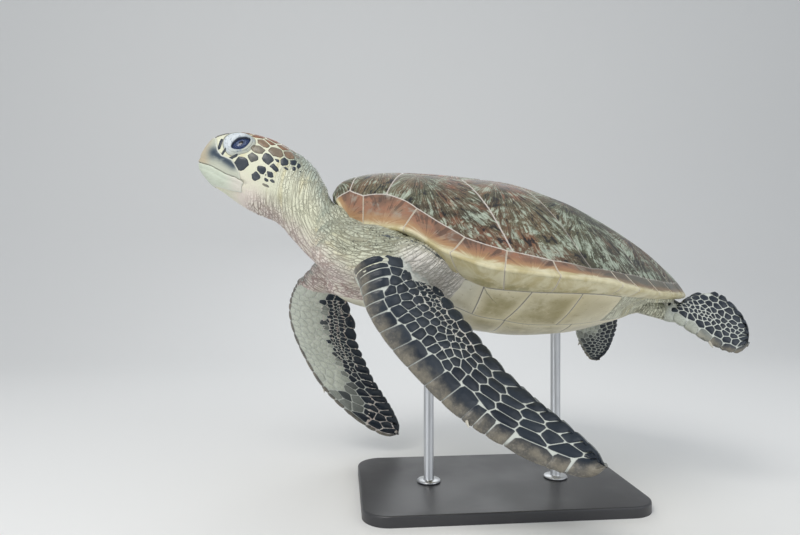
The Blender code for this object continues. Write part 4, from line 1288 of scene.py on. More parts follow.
def hide_finish():
    """Pale greenish cream hide; pink and netted below, grey-olive and speckled on top, with painted shade in
    its creases, round the lids and along the mouth.
    """
    mat = new_finish("turtle_hide", .48, specular=.45, coat=.06, coat_roughness=.3)
    place, flow, spot = place_of(mat), read(mat, "flow", "Vector"), read(mat, "spot", "Vector")
    loose, lid, blade, mouth = [read(mat, name) for name in ("loose", "lid", "blade", "mouth")]
    x, _, z = parts(spot)
    facing = parts(source(mat, "NewGeometry", "Normal"))[2]
    broad = noise(place, 11, 3)
    mid = noise(place, 42, 4, .6)
    fine = noise(place, 170, 3, .6)
    # the upper side is greyer, the throat, chest and armpits pinker
    upper = fade(facing + broad * .5, .55, 1.05)
    shoulder = fade(x, -.04, .05) * fade(z, -.02, .05)
    grey = larger(upper, shoulder * .9) * fade(x, -.09, .02)
    nape = fade(x, -.17, -.12) * fade(x, .02, -.05) * fade(facing, .15, .70)
    low = z + x * .72
    pink = fade(low, .055, -.035) * fade(x, -.30, -.22)
    cream = blend(broad, (.66, .66, .48), (.78, .79, .65))
    cream = blend(fade(x, -.33, -.42, 0, .45), cream, (.76, .79, .72))
    yellow = fade(noise(stretched(flow, (12, 60, 12)), 1, 3), .52, .68, 0, .65)
    ground = blend(yellow, cream, (.66, .60, .35))
    ground = blend(pink * fade(mid, .30, .60, .55, 1), ground, (.80, .70, .65))
    ground = blend(grey * .70, ground, (.33, .35, .255))
    ground = blend(nape * .72, ground, (.30, .38, .35))
    armpit = fade(x, .12, .19) * fade(x, .44, .36) * fade(z, .070, .010)
    ground = blend(armpit * .85, ground, blend(mid, (.66, .60, .56), (.76, .74, .70)))
    # creases that run along the folds, and a finer net everywhere the hide is loose, both drawn dark as
    # painted shade in these grooves
    crease = fade(cells(stretched(flow, (20, 235, 60)), 1), .00, .13, 1, 0)
    net = cells(place, 150)
    fine_net = cells(place, 420)
    mesh_line = fade(net - pink * .05, .00, .08, 1, 0)
    lines = larger(crease, mesh_line * fade(mid, .40, .58, .15, .9)) * (loose * .9 + .06)
    crease_shade_tone = blend(pink, (.22, .20, .13), (.31, .20, .17))
    depth = fade(x, -.15, .03, .55, 1) * fade(broad, .3, .7, .50, .90)
    depth = larger(depth, pink * .90) * fade(armpit, 0, 1, 1, .55)
    # painted shade: the creases and the net darkened where the hide is grooved
    ground = blend(lines * depth, ground, crease_shade_tone)
    # dark speckles on the nape and shoulders
    speck = cells(stretched(flow, (130, 210, 150)), 1, "F1")
    specks = fade(speck, .30, .22) * fade(mid, .44, .56) * grey
    ground = blend(specks * .85, ground, (.045, .048, .045))
    # lids: bluish white, with fine mottling, and painted shade in the groove round their foot, in their fold
    # and where the hide sinks into the opening
    behind = x * .75 - z * .66 + (mid - .5) * .03
    lid_tone = blend(fade(behind, -.392, -.362), (.62, .67, .70), (.47, .49, .42))
    lid_tone = blend(fade(mid, .46, .62, 0, .7), lid_tone, (.36, .42, .48))
    lid_tone = blend(fade(fine, .55, .68, 0, .6), lid_tone, (.17, .21, .26))
    ground = blend(fade(lid, .36, .52), ground, lid_tone)
    # painted shade: a dark ring in the groove at the foot of the lids
    ring = fade(lid, .30, .36) * fade(lid, .47, .40)
    ground = blend(ring * .75, ground, (.055, .06, .065))
    # painted shade in the fold across the lids, stronger towards the back
    lid_fold_shade = fade(lid, .79, .85) * fade(lid, .92, .85)
    ground = blend(lid_fold_shade * fade(behind, -.386, -.366, .15, .65), ground, (.16, .17, .17))
    # painted shade where the hide turns down into the eye's opening
    ground = blend(fade(lid, 1.36, 1.44), ground, (.07, .08, .11))
    # painted shade along the sunk line of the mouth
    ground = blend(mouth * .35, ground, (.16, .16, .14))
    ground = blend(blade, ground, blend(fine, (.50, .53, .49), (.66, .68, .62)))
    dimple = lines * -1 + fine * .25
    first = bump(dimple, .0018, .9)
    grain = bump(fade(fine_net, 0, .3), .0003, .5, first)
    surface(mat, colour=ground, roughness=fade(mid, .3, .7, .42, .58), normal=grain)
    return mat


skin = hide_of_the_turtle()
skin.data.materials.clear()
skin.data.materials.append(hide_finish())
held(skin, "skin", *NODES_OF_FLESH)

# ---------------------------------------------------------------- eyes
# Dark wet globes, a little flattened, behind the lids. A mottled blue-black iris surrounds a
# round pupil, and the clear front is as glossy as glass.
EYE_SIZE = (.0195, .0145, .0105)
IRIS, PUPIL = .0088, .0036


def eye_finish():
    mat = new_finish("eye_globe", .15, specular=.35, coat=.18, coat_roughness=.10)
    face = read(mat, "face", "Vector")
    far = made("VectorMath", ((0, face),), "Value", operation="LENGTH")
    mottle = noise(face, 420, 4, .65)
    rays = noise(stretched(face, (900, 900, 0)), 1, 3, .6)
    iris = blend(fade(mottle, .42, .60), (.016, .028, .075), (.11, .15, .26))
    iris = blend(fade(rays, .52, .66, 0, .5), iris, (.17, .15, .13))
    outer = blend(fade(mottle, .44, .60), (.012, .022, .065), (.045, .075, .170))
    colour = blend(fade(far, IRIS * .93, IRIS * 1.04), iris, outer)
    colour = blend(fade(far, PUPIL, PUPIL * 1.18), (.002, .002, .003), colour)
    surface(mat, colour=colour)
    return mat


def eyes():
    """Sets each eyeball behind its lids, its pupil turned out and a little forward."""
    mat = eye_finish()
    for word, side in (("left", -1), ("right", 1)):
        column = np.argmin(np.linalg.norm(local(head_rows)[..., [0, 2]] - EYE_MIDDLE, axis=-1)
                           + 9 * (local(head_rows)[..., 1] * side < 0))
        out = heading([EYE_OUT[0], side * EYE_OUT[1], EYE_OUT[2]])
        out /= np.linalg.norm(out)
        along = heading([math.cos(EYE_TILT), 0, math.sin(EYE_TILT)])
        along -= out * (along @ out)
        along /= np.linalg.norm(along)
        up = np.cross(out, along)
        front = head_rows.reshape(-1, 3)[column] + out * .0010
        middle = front - out * EYE_SIZE[2]
        bm = bmesh.new()
        bmesh.ops.create_icosphere(bm, subdivisions=5, radius=1)
        ball = np.array([v.co for v in bm.verts])
        faces = [[v.index for v in f.verts] for f in bm.faces]
        bm.free()
        bulge = 1 + .06 * np.maximum(0, ball[:, 2]) ** 12
        points = middle + (ball[:, :1] * EYE_SIZE[0] * along + ball[:, 1:2] * EYE_SIZE[1] * up
                           + (ball[:, 2] * bulge * EYE_SIZE[2])[:, None] * out)
        globe = mesh_object("eye_%s_globe" % word, points, faces, mat)
        outward_facing(globe)
        flat = np.stack([ball[:, 0] * EYE_SIZE[0], ball[:, 1] * EYE_SIZE[1] * 1.25,
                         np.where(ball[:, 2] > 0, 0, .05)], 1)
        store(globe, "face", flat)
        held(globe, "eye", "eye_" + word)


eyes()

# ---------------------------------------------------------------- scales: how they are laid
# Scales are thin horn plates set in the hide edge to edge, with a pale line of hide between them.
# They are drawn flat on the unrolled form, pressed to a low dome, and laid back on the hide.
SUNK = .0006            # how deep the foot of a scale of middling thickness sits in the hide
PATCH = .0015           # half the width of a scale's patch on the unwrap


def hide_map():
    """The hide's unwrap, on which each scale later finds the patch at its root."""
    for obj in bpy.context.view_layer.objects:
        obj.select_set(obj is skin)
    bpy.context.view_layer.objects.active = skin
    skin.data.uv_layers.new(name="OFBake")
    bpy.ops.object.mode_set(mode="EDIT")
    bpy.ops.mesh.select_all(action="SELECT")
    bpy.ops.uv.smart_project(angle_limit=math.radians(60), island_margin=.001)
    bpy.ops.object.mode_set(mode="OBJECT")
    skin.select_set(False)


def hide_lookup():
    """A search tree of the hide, and for each of its faces the middle of the face on the unwrap."""
    mesh = skin.data
    tree = BVHTree.FromPolygons([v.co for v in mesh.vertices], [tuple(p.vertices) for p in mesh.polygons])
    uv = numbers(mesh.uv_layers["OFBake"].data, "uv", np.float32, 2)
    starts, totals = [numbers(mesh.polygons, key) for key in ("loop_start", "loop_total")]
    return tree, np.add.reduceat(uv, starts, axis=0) / totals[:, None]


def unrolled(rows):
    """A sleeve laid flat: evenly spaced columns from the middle column out to both ends."""
    half, count = (rows.shape[1] - 1) // 2, 64
    grid = np.zeros((len(rows), 2 * count + 1, 3))
    reach = np.zeros((len(rows), 2))
    for i, row in enumerate(rows):
        for hand, part in ((0, row[half::-1]), (1, row[half:])):
            run = np.r_[0, np.cumsum(np.linalg.norm(np.diff(part, axis=0), axis=1))]
            even = np.linspace(0, run[-1], count + 1)
            line = np.stack([np.interp(even, run, part[:, k]) for k in range(3)], 1)
            reach[i, hand] = run[-1]
            if hand:
                grid[i, count:] = line
            else:
                grid[i, count::-1] = line
    steps_along = np.linalg.norm(np.diff(grid, axis=0), axis=2)
    along = np.r_[0, np.cumsum(steps_along[:, count // 3:-count // 3].mean(1))]
    across = np.gradient(grid, axis=1)
    down = np.gradient(grid, axis=0)
    normal = np.cross(down, across)
    normal /= np.maximum(np.linalg.norm(normal, axis=2), 1e-12)[..., None]
    outward = grid - grid.mean(1)[:, None]
    if (normal * outward).sum() < 0:
        normal = -normal
    return {"grid": grid, "reach": reach, "along": along, "normal": normal, "count": count}


def on_sheet(sheet, s, c):
    """Points and normals at unrolled places; past its end or edge a sheet runs straight on."""
    grid, count, along = sheet["grid"], sheet["count"], sheet["along"]
    row = np.interp(s, along, np.arange(len(along)))
    i = np.clip(row.astype(int), 0, len(along) - 2)
    f = (row - i)[:, None]
    hand = (c > 0).astype(int)
    reach = sheet["reach"][i, hand] * (1 - f[:, 0]) + sheet["reach"][i + 1, hand] * f[:, 0]
    share = np.clip(np.abs(c) / np.maximum(reach, 1e-6), 0, 1)
    column = count + np.sign(c) * share * count
    j = np.clip(column.astype(int), 0, 2 * count - 1)
    g = (column - j)[:, None]
    place, normal = [(a[i, j] * (1 - g) + a[i, j + 1] * g) * (1 - f)
                     + (a[i + 1, j] * (1 - g) + a[i + 1, j + 1] * g) * f for a in (grid, sheet["normal"])]
    edge = np.where(hand, 2 * count, 0)
    out = grid[i, edge] - grid[i, count]
    out /= np.maximum(np.linalg.norm(out, axis=1), 1e-9)[:, None]
    place = place + out * np.maximum(np.abs(c) - reach, 0)[:, None]
    on = grid[-1].mean(0) - grid[-6].mean(0)
    place = place + on / np.linalg.norm(on) * np.maximum(s - along[-1], 0)[:, None]
    return place, normal / np.maximum(np.linalg.norm(normal, axis=1), 1e-9)[:, None]


def clipped(outline, at, toward, limit):
    """The part of a convex outline no further from at, in direction toward, than limit."""
    reach = (outline - at) @ toward - limit
    kept = []
    for k in range(len(outline)):
        n = (k + 1) % len(outline)
        if reach[k] <= 0:
            kept.append(outline[k])
        if (reach[k] < 0) != (reach[n] < 0):
            t = reach[k] / (reach[k] - reach[n])
            kept.append(outline[k] + (outline[n] - outline[k]) * t)
    return np.array(kept).reshape(-1, 2)


def softened(outline, longest, share=.24):
    """An outline with cut corners and no side longer than longest."""
    cut = []
    for a, b in zip(outline, np.roll(outline, -1, 0)):
        cut += [a + (b - a) * share, b - (b - a) * share]
    full = []
    for a, b in zip(cut, cut[1:] + cut[:1]):
        count = max(1, int(np.ceil(np.linalg.norm(b - a) / longest)))
        full += [a + (b - a) * k / count for k in range(count)]
    return np.array(full)


def cell_outlines(seeds, sizes, gaps, starts=None, near=26, rows=None):
    """For each seed the outline of its scale: sizes push neighbours away, gaps are the pale lines.
    Scales with the same number in rows already meet where their starting outlines do."""
    outlines = []
    for k, seed in enumerate(seeds):
        size = sizes[k]
        if starts is None or starts[k] is None:
            reach = size * 2.4
            outline = seed + np.array([(-reach, -reach), (reach, -reach), (reach, reach), (-reach, reach)])
        else:
            outline = starts[k]
        away = seeds - seed
        far = np.linalg.norm(away, axis=1)
        for n in np.argsort(far - sizes)[:near]:
            if n == k or far[n] < 1e-6 or (rows is not None and rows[k] and rows[k] == rows[n]):
                continue
            limit = (far[n] ** 2 + size ** 2 - sizes[n] ** 2) / (2 * far[n])
            outline = clipped(outline, seed, away[n] / far[n], limit - gaps[k] / 2)
            if len(outline) < 3:
                break
        outlines.append(outline)
    return outlines


def socket(tree, name, kind, value=None):
    """A named input of a tree."""
    made_socket = tree.interface.new_socket(name, in_out="INPUT", socket_type="NodeSocket" + kind)
    if value is not None:
        made_socket.default_value = value


def finished(tree, geometry, horn):
    """Ends a tree: what it made becomes real, takes its horn and is handed out."""
    tree.interface.new_socket("Geometry", in_out="OUTPUT", socket_type="NodeSocketGeometry")
    real = node_in(tree, "GeometryNodeRealizeInstances", (("Geometry", geometry),))
    painted = node_in(tree, "GeometryNodeSetMaterial", (("Geometry", real.outputs[0]), ("Material", horn)))
    node_in(tree, "NodeGroupOutput", (("Geometry", painted.outputs[0]),))
    return tree


def press_tree():
    """Nodes that press flat outlines to plates: a short wall, a rounded lip and a low dome."""
    tree = bpy.data.node_groups.new("scale_press", "GeometryNodeTree")
    socket(tree, "Geometry", "Geometry")
    for name, value in (("Wall", .0006), ("Lip", .0002), ("Dome", .0004), ("Lip draw", .95),
                        ("Dome draw", .74)):
        socket(tree, name, "Float", value)
    socket(tree, "Finer", "Int", 0)
    socket(tree, "Horn", "Material")
    given = node_in(tree, "NodeGroupInput").outputs
    thick = node_in(tree, "GeometryNodeInputNamedAttribute", (("Name", "thick"),),
                    data_type="FLOAT").outputs[0]
    flow, picked = given["Geometry"], []
    for height, draw in (("Wall", None), ("Lip", "Lip draw"), ("Dome", "Dome draw"), ("Dome", "Dome draw")):
        lift = node_in(tree, "ShaderNodeMath", ((0, thick), (1, given[height])), operation="MULTIPLY")
        pull = node_in(tree, "GeometryNodeExtrudeMesh", [("Mesh", flow), ("Offset Scale", lift.outputs[0]),
                                                         ("Individual", True)] + picked, mode="FACES")
        flow, picked = pull.outputs["Mesh"], [("Selection", pull.outputs["Top"])]
        if draw:
            shrink = node_in(tree, "GeometryNodeScaleElements",
                             [("Geometry", flow), ("Scale", given[draw])] + picked)
            flow = shrink.outputs["Geometry"]
    under = node_in(tree, "GeometryNodeFlipFaces", (("Mesh", given["Geometry"]),))
    both = node_in(tree, "GeometryNodeJoinGeometry",
                   (("Geometry", flow), ("Geometry", under.outputs["Mesh"])))
    weld = node_in(tree, "GeometryNodeMergeByDistance", (("Geometry", both.outputs[0]),
                                                         ("Distance", .000004)))
    finer = node_in(tree, "GeometryNodeSubdivideMesh", (("Mesh", weld.outputs[0]), ("Level", given["Finer"])))
    return finished(tree, finer.outputs[0], given["Horn"])


def set_inputs(modifier, **values):
    """Gives a nodes modifier its values, by the identifiers of its sockets."""
    for item in modifier.node_group.interface.items_tree:
        if item.item_type == "SOCKET" and item.in_out == "INPUT" and item.name in values:
            modifier[item.identifier] = values[item.name]


def laid_scales(name, sheet, outlines, thick, mat, finer=0, below=0, **paint):
    """Presses outlines drawn on a sheet and lays them back on the hide, which may lie as far below
    the sheet as below says; paint gives a value for each scale."""
    points, faces = [], []
    for outline in outlines:
        if area_of(outline) < 0:
            outline = outline[::-1]
        faces.append(tuple(range(len(points), len(points) + len(outline))))
        points += [(s, c, 0) for s, c in outline]
    obj = mesh_object(name, points, faces, mat)
    for key, values in (("thick", thick), ("which", np.arange(len(faces)))):
        layer = obj.data.attributes.new(key, "FLOAT", "FACE")
        layer.data.foreach_set("value", np.asarray(values, np.float32))
    press = obj.modifiers.new("press", "NODES")
    press.node_group = scale_press
    set_inputs(press, Horn=mat, Finer=finer)
    mesh = settle(obj)
    flat = points_of(mesh)
    which = np.round(numbers(mesh.attributes["which"].data, "value", np.float32)).astype(int)
    corners = numbers(mesh.loops, "vertex_index")
    of_point = np.zeros(len(flat), int)
    of_point[corners] = np.repeat(which, numbers(mesh.polygons, "loop_total"))
    place, normal = on_sheet(sheet, flat[:, 0], flat[:, 1])
    for k, (p, n) in enumerate(zip(place.tolist(), normal.tolist())):
        p, n = Vector(p), Vector(n)
        hit = hide_tree.ray_cast(p + n * .011, -n, .0105 + below)[0]
        if hit:
            place[k] = hit
    thick = np.asarray(thick, float)
    height = flat[:, 2] - SUNK * thick[of_point]
    place_points(mesh, place + normal * height[:, None])
    mesh.shade_smooth()
    for key in [layer.name for layer in mesh.attributes if layer.name in ("thick", "which")]:
        mesh.attributes.remove(mesh.attributes[key])
    store(obj, "level", np.clip((flat[:, 2] / thick[of_point] - SUNK) / .0010, 0, 1))
    for key, values in paint.items():
        values = np.asarray(values, float)
        store(obj, key, values[of_point] if len(values) == len(faces) else values)
    store(obj, "across", flat[:, 1])
    roots = np.array([outline.mean(0) for outline in outlines])
    root_place = on_sheet(sheet, roots[:, 0], roots[:, 1])[0]
    patch = np.array([hide_uv[hide_tree.find_nearest(Vector(p))[2]] for p in root_place.tolist()])
    size = np.array([np.abs(outline - root).max() for outline, root in zip(outlines, roots)])
    loose = (flat[:, :2] - roots[of_point]) / size[of_point, None]
    uv = patch[of_point] + loose * PATCH
    layer = mesh.uv_layers.new(name="OFBake")
    layer.data.foreach_set("uv", uv[corners].astype(np.float32).ravel())
    volume = bmesh.new()
    volume.from_mesh(mesh)
    inside_out = volume.calc_volume(signed=True) < 0
    volume.free()
    if inside_out:
        mesh.flip_normals()
    return obj


hide_map()
hide_tree, hide_uv = hide_lookup()
scale_press = press_tree()

# ---------------------------------------------------------------- flippers: scales
# Long flat scales of dark horn. Big ones sheathe the leading edge, worn grey-brown there, big
# pointed ones fringe the trailing edge, and small ones fill a band where the blade bends.
random = np.random.default_rng(7)
# lengths of the leading-edge scales from the shoulder out, in millimetres, and how far in they reach
FRONT_ROW = ((9, 44), (8, 50), (10, 52), (12, 46), (14, 34), (16, 29), (22, 31), (27, 35), (28, 38), (31, 42),
             (28, 40), (33, 42), (17, 32), (19, 28), (25, 27), (56, 24), (24, 24), (52, 27))
REAR_ROW = ((14, 15), (15, 16), (15, 17), (16, 16), (15, 15), (16, 14), (18, 13))


def settled_seeds(size_at, inside, box, rounds=9):
    """Seeds spread inside a region, closer where size_at is small."""
    low, high = np.array(box, float)
    cloud = low + random.random((60000, 2)) * (high - low)
    cloud = cloud[inside(cloud)]
    weight = 1 / size_at(cloud) ** 2
    area = (high - low).prod() * len(cloud) / 60000
    total = int((weight.mean() * area) / .80)
    seeds = cloud[random.choice(len(cloud), max(total, 3), replace=False, p=weight / weight.sum())]
    cloud, weight = cloud[:16000], weight[:16000]
    for turn in range(rounds):
        nearest = np.argmin(((cloud[:, None] - seeds[None]) ** 2).sum(2), axis=1)
        mass = np.bincount(nearest, weight, len(seeds))
        moved = np.stack([np.bincount(nearest, weight * cloud[:, k], len(seeds)) for k in (0, 1)], 1)
        seeds = np.where(mass[:, None] > 0, moved / np.maximum(mass, 1e-12)[:, None], seeds)
    return seeds


def flipper_layout(sheet, row, start, size_at, fringe, stretch, gap):
    """Outlines of all scales on a flipper, in its unrolled frame, and what each one is."""
    along, end = sheet["along"], sheet["along"][-1]
    edge = [np.interp(along, along, sheet["reach"][:, hand]) for hand in (0, 1)]
    warp_s = np.linspace(0, end * 1.05, 400)
    warp = np.r_[0, np.cumsum(np.diff(warp_s) / stretch(warp_s[1:] / end))]

    def drawn(s):
        """Where a place along the blade comes on the one drawn out, in which scales are as long as wide."""
        return np.interp(s, warp_s, warp)

    def undrawn(s):
        return np.interp(s, warp, warp_s)

    lengths = np.array([r[0] for r in row], float)
    marks = start + np.r_[0, np.cumsum(lengths)] / lengths.sum() * (end + .004 - start)
    seeds, sizes, kinds, hands = [], [], [], []
    fringe_depth = []
    for k, (length, deep) in enumerate(row):
        middle, deep, back = (marks[k] + marks[k + 1]) / 2, deep / 1000, .010
        upper = min(deep, np.interp(middle, along, edge[1]) * .96)
        seeds.append((middle, (upper - back) / 2))
        sizes.append((upper + back) / 2)
        kinds.append(0)
        hands.append(1)
    leading = lambda s: np.interp(s, marks[:-1], [r[1] / 1000 for r in row])
    for hand in (1, 0):
        sign = 1 if hand else -1
        s = start + fringe[2]
        while s < end - .006:
            length = fringe[0] * (.8 + .5 * random.random()) * (1 if s < end * .8 else .75)
            depth = fringe[1] * (.85 + .4 * random.random())
            reach = np.interp(s + length / 2, along, edge[hand])
            depth = min(depth, reach * .35)
            seeds.append((s + length / 2, sign * (reach + fringe[3] - depth / 2)))
            sizes.append(depth / 2)
            kinds.append(2)
            hands.append(hand)
            fringe_depth.append((s + length / 2, depth))
            s += length
    rim = lambda s: np.interp(s, *zip(*sorted(fringe_depth)))
    inner = []
    for hand in (1, 0):
        sign = 1 if hand else -1
        tall = edge[hand].max()

        def inside(q, hand=hand, sign=sign):
            s, out = undrawn(q[:, 0]), q[:, 1] * sign
            limit = np.interp(s, along, edge[hand]) + fringe[3] - rim(s) - .001
            return ((out > (leading(s) if hand else .010) + .0005) & (out < limit)
                    & (s > start + (.005 if hand else .01)) & (s < end))

        def sized(q, hand=hand, tall=tall):
            return size_at(undrawn(q[:, 0]) / end, np.abs(q[:, 1]) / tall, hand)

        box = ((start, 0), (end, tall)) if hand else ((start, -tall), (end, 0))
        found = settled_seeds(sized, inside, [(drawn(s), out) for s, out in box])
        inner.append(found)
        sizes += list(sized(found) * .5)
        kinds += [1] * len(found)
        hands += [hand] * len(found)
    fixed_seeds = np.array(seeds)
    fixed_seeds[:, 0] = drawn(fixed_seeds[:, 0])
    all_seeds = np.vstack([fixed_seeds] + inner)
    sizes, kinds, hands = np.array(sizes), np.array(kinds), np.array(hands)
    starts = []
    for k, seed in enumerate(all_seeds):
        if kinds[k] == 0:
            a, b = drawn(marks[k] + gap / 2), drawn(marks[k + 1] - gap / 2)
            if k == len(row) - 1:
                b = drawn(end + .003)
            c0, c1 = seed[1] - sizes[k], seed[1] + sizes[k] * 1.12
            lean = (b - a) * .16
            starts.append(np.array([(a, c0), (b, c0), (b + lean, c1 * .9), ((a + b) / 2 + lean, c1),
                                    (a + lean, c1 * .9)]))
        else:
            starts.append(None)
    outlines = cell_outlines(all_seeds, sizes, np.full(len(all_seeds), gap), starts, rows=(kinds == 0) * 1)
    kept, kind, hand_of = [], [], []
    for k, outline in enumerate(outlines):
        if len(outline) < 3:
            continue
        sign = 1 if hands[k] else -1
        limit = np.interp(undrawn(all_seeds[k, 0]), along, edge[hands[k]]) + fringe[3]
        if kinds[k] == 2:
            outline = clipped(outline, np.array((0, 0)), np.array((0, sign)), limit)
        if kinds[k] > 0:
            outline = clipped(outline, np.array((0, 0)), np.array((0, -sign)), -.0005)
            outline = clipped(outline, np.array((0, 0)), np.array((-1, 0)), -drawn(start + .001))
        outline = clipped(outline, np.array((0, 0)), np.array((1, 0)), drawn(end + .003))
        if len(outline) < 3:
            continue
        outline[:, 0] = undrawn(outline[:, 0])
        if abs(area_of(outline)) < 6e-6:
            continue
        outline = softened(outline, .006 if kinds[k] != 1 else .05, .14)
        reach = np.interp(outline[:, 0], along, edge[hands[k]]) + fringe[3]
        outline[:, 1] = np.clip(outline[:, 1] * sign, -9, reach) * sign
        if kinds[k] == 2:
            off = 2 * (outline[:, 0] - outline[:, 0].mean()) / np.ptp(outline[:, 0])
            outer = smooth(outline[:, 1] * sign, reach - .012, reach)
            outline[:, 1] -= sign * outer * .0045 * off ** 2
        kept.append(outline)
        kind.append(kinds[k])
        hand_of.append(hands[k])
    return kept, np.array(kind), np.array(hand_of)


def flipper_horn():
    """Blue-black horn, graded to worn grey-brown at the leading edge; pale beige on the underside."""
    mat = new_finish("flipper_horn", .40, specular=.4, coat=.07, coat_roughness=.25)
    place = place_of(mat)
    tone, worn, pale = [read(mat, name) for name in ("tone", "worn", "pale")]
    level = read(mat, "level")
    cloud = noise(place, 55, 4, .6)
    fine = noise(place, 330, 4, .65)
    dark = blend(tone, (.006, .011, .020), (.018, .027, .039))
    dark = blend(fade(cloud, .48, .72, 0, .35), dark, (.044, .055, .064))
    brown = blend(fade(cloud, .35, .65), (.105, .100, .088), (.200, .180, .140))
    brown = blend(fade(fine, .5, .66, 0, .5), brown, (.29, .26, .21))
    edge = fade(worn + (cloud - .5) * .45, .28, .78)
    colour = blend(edge, dark, brown)
    light = blend(cloud, (.46, .50, .43), (.64, .66, .57))
    light = blend(fade(fine, .5, .62, 0, .4), light, (.26, .27, .23))
    colour = blend(pale, colour, light)
    rim = fade(level, 0, .22, .5, 0)
    colour = blend(rim, colour, (.36, .38, .37))
    grain = fine * .7 + cloud
    surface(mat, colour=colour, roughness=fade(cloud, .3, .7, .30, .46), normal=bump(grain, .0003, .6))
    return mat


def uncovered(sheet, outline, root):
    """Whether no fold of the shoulder lies over a scale; only those near the limb's root can be under one."""
    if outline[:, 0].mean() > root:
        return True
    for p, n in zip(*[array.tolist() for array in on_sheet(sheet, outline[:, 0], outline[:, 1])]):
        above = Vector(p) + Vector(n) * .007
        near, out = hide_tree.find_nearest(above)[:2]
        if (above - near).dot(out) < 0:
            return False
    return True


def flipper_scales():
    """Lays out, presses and paints the scales of all four limbs."""
    horn = flipper_horn()
    for name, sheet in limb_sheets.items():
        front = name.startswith("front")
        end = sheet["along"][-1]
        station = np.linspace(0, 1, len(sheet["along"]))
        first = np.interp(SCALED_FROM[name] / (11 if front else 6), station, sheet["along"])
        row = FRONT_ROW if front else REAR_ROW
        if front:
            def size_at(s, share, hand):
                base = .0190 + .0015 * smooth(s, .50, .75) + .0070 * smooth(s, .46, .30)
                band = np.exp(-((share - (.66 - .42 * (s - .30))) / .11) ** 2)
                band = band * smooth(s, .66, .50) * smooth(s, .2, .3)
                return base * (1 - .50 * band) * (1 if hand else .8)
            layout = flipper_layout(
                sheet, row, first, size_at, (.026, .024, .020, .0012),
                lambda s: .62 + .38 * smooth(s, .30, .48) + .75 * smooth(s, .48, .72), .0011)
        else:
            def size_at(s, share, hand):
                return .0145 - .0068 * np.exp(-((share - .42) / .17) ** 2)
            layout = flipper_layout(sheet, row, first, size_at, (.014, .011, .004, .0008),
                                    lambda s: 1 + .2 * s, .0015)
        layout = zip(*[some for some in zip(*layout) if uncovered(sheet, some[0], first + .060)])
        outlines, kinds, hands = [list(next(layout)), np.array(next(layout)), np.array(next(layout))]
        middle = np.array([outline.mean(0) for outline in outlines])
        size = np.array([np.sqrt(np.ptp(outline[:, 0]) * np.ptp(outline[:, 1])) for outline in outlines])
        thick = np.clip(size / .016, .55, 1.5)
        share = middle[:, 0] / end
        tone = np.clip(random.random(len(outlines)) * .8 + .35 * smooth(share, .55, .30), 0, 1)
        # the lower face, hand 0, is pale except near the tip
        pale = np.where((hands == 0) & (kinds != 2),
                        1 - smooth(share + .1 * (random.random(len(share)) - .5), .62, .80), 0)
        behind = np.abs(middle[:, 1]) / np.interp(middle[:, 0], sheet["along"], sheet["reach"][:, 0])
        pale *= 1 - smooth(behind + .10 * random.random(len(share)), .54, .66)
        if not front:
            pale *= smooth(share + .1 * random.random(len(share)), .66, .46)
            pale = np.where(kinds == 0, .85 * smooth(share, .80, .40), pale)
        for word, chosen, finer in (("edge", kinds == 0, 1), ("field", kinds != 0, 0)):
            some = [outline for outline, keep in zip(outlines, chosen) if keep]
            piece = laid_scales("scales_%s_%s" % (name, word), sheet, some, thick[chosen], horn, finer=finer,
                                tone=tone[chosen], pale=pale[chosen])
            across = numbers(piece.data.attributes["across"].data, "value", np.float32)
            worn = np.exp(-np.maximum(across, 0) / (.024 if front else .012))
            worn = worn * np.exp(np.minimum(across, 0) / .02)
            store(piece, "worn", worn * (.5 if word == "field" else 1))
            held(piece, "flipper_scale")


limb_sheets = {name: unrolled(rows if name.endswith("left") else rows[:, ::-1])
               for name, rows in limb_rows.items()}
flipper_scales()

# ---------------------------------------------------------------- beak
# Two horn sheaths without teeth cover the jaws. The upper one closes over the lower, is beige in
# front and slate-blue at its side, and both thin out to nothing where they meet the skin.
SHEATH = .0011
UPPER_BORDER = ((-.334, .330), (-.334, .292), (-.322, .286), (-.312, .254), (-.301, .242), (-.274, .233),
                (-.263, .219), (-.250, .200), (-.247, .184))
LOWER_BORDER = ((-.238, .176), (-.243, .163), (-.241, .150), (-.270, .153), (-.298, .159), (-.318, .163),
                (-.332, .155), (-.340, .100))
NOSTRIL = (-.3585, .0075, .262)
SLATE_STREAK = ((-.318, .243), (-.290, .229), (-.268, .217))


def trimmed(points, faces, value):
    """The part of a surface where value is above nought, cut cleanly along its edge."""
    points, value = [tuple(p) for p in points], list(value)
    new_faces, split = [], {}
    for face in faces:
        loop = []
        for k, a in enumerate(face):
            b = face[(k + 1) % len(face)]
            if value[a] > 0:
                loop.append(a)
            if (value[a] > 0) != (value[b] > 0):
                key = (min(a, b), max(a, b))
                if key not in split:
                    t = value[a] / (value[a] - value[b])
                    split[key] = len(points)
                    points.append(tuple(points[a][i] + (points[b][i] - points[a][i]) * t for i in range(3)))
                    value.append(0)
                loop.append(split[key])
        if len(loop) > 2:
            new_faces.append(tuple(loop))
    used = sorted({i for face in new_faces for i in face})
    number = {old: new for new, old in enumerate(used)}
    return np.array([points[i] for i in used]), [tuple(number[i] for i in face) for face in new_faces], \
        np.array([value[i] for i in used])


def muzzle():
    """The head's front as a fine closed cap, in the row frame."""
    rows = head_sections(20, 240)[:100, :-1]
    middle = rows[0].mean(0)
    front = [middle + (rows[0] - middle) * share - heading([.0016 * (1 - share), 0, 0])
             for share in (.08, .3, .55, .8)]
    return tube(np.concatenate([np.array(front), rows]), 1)


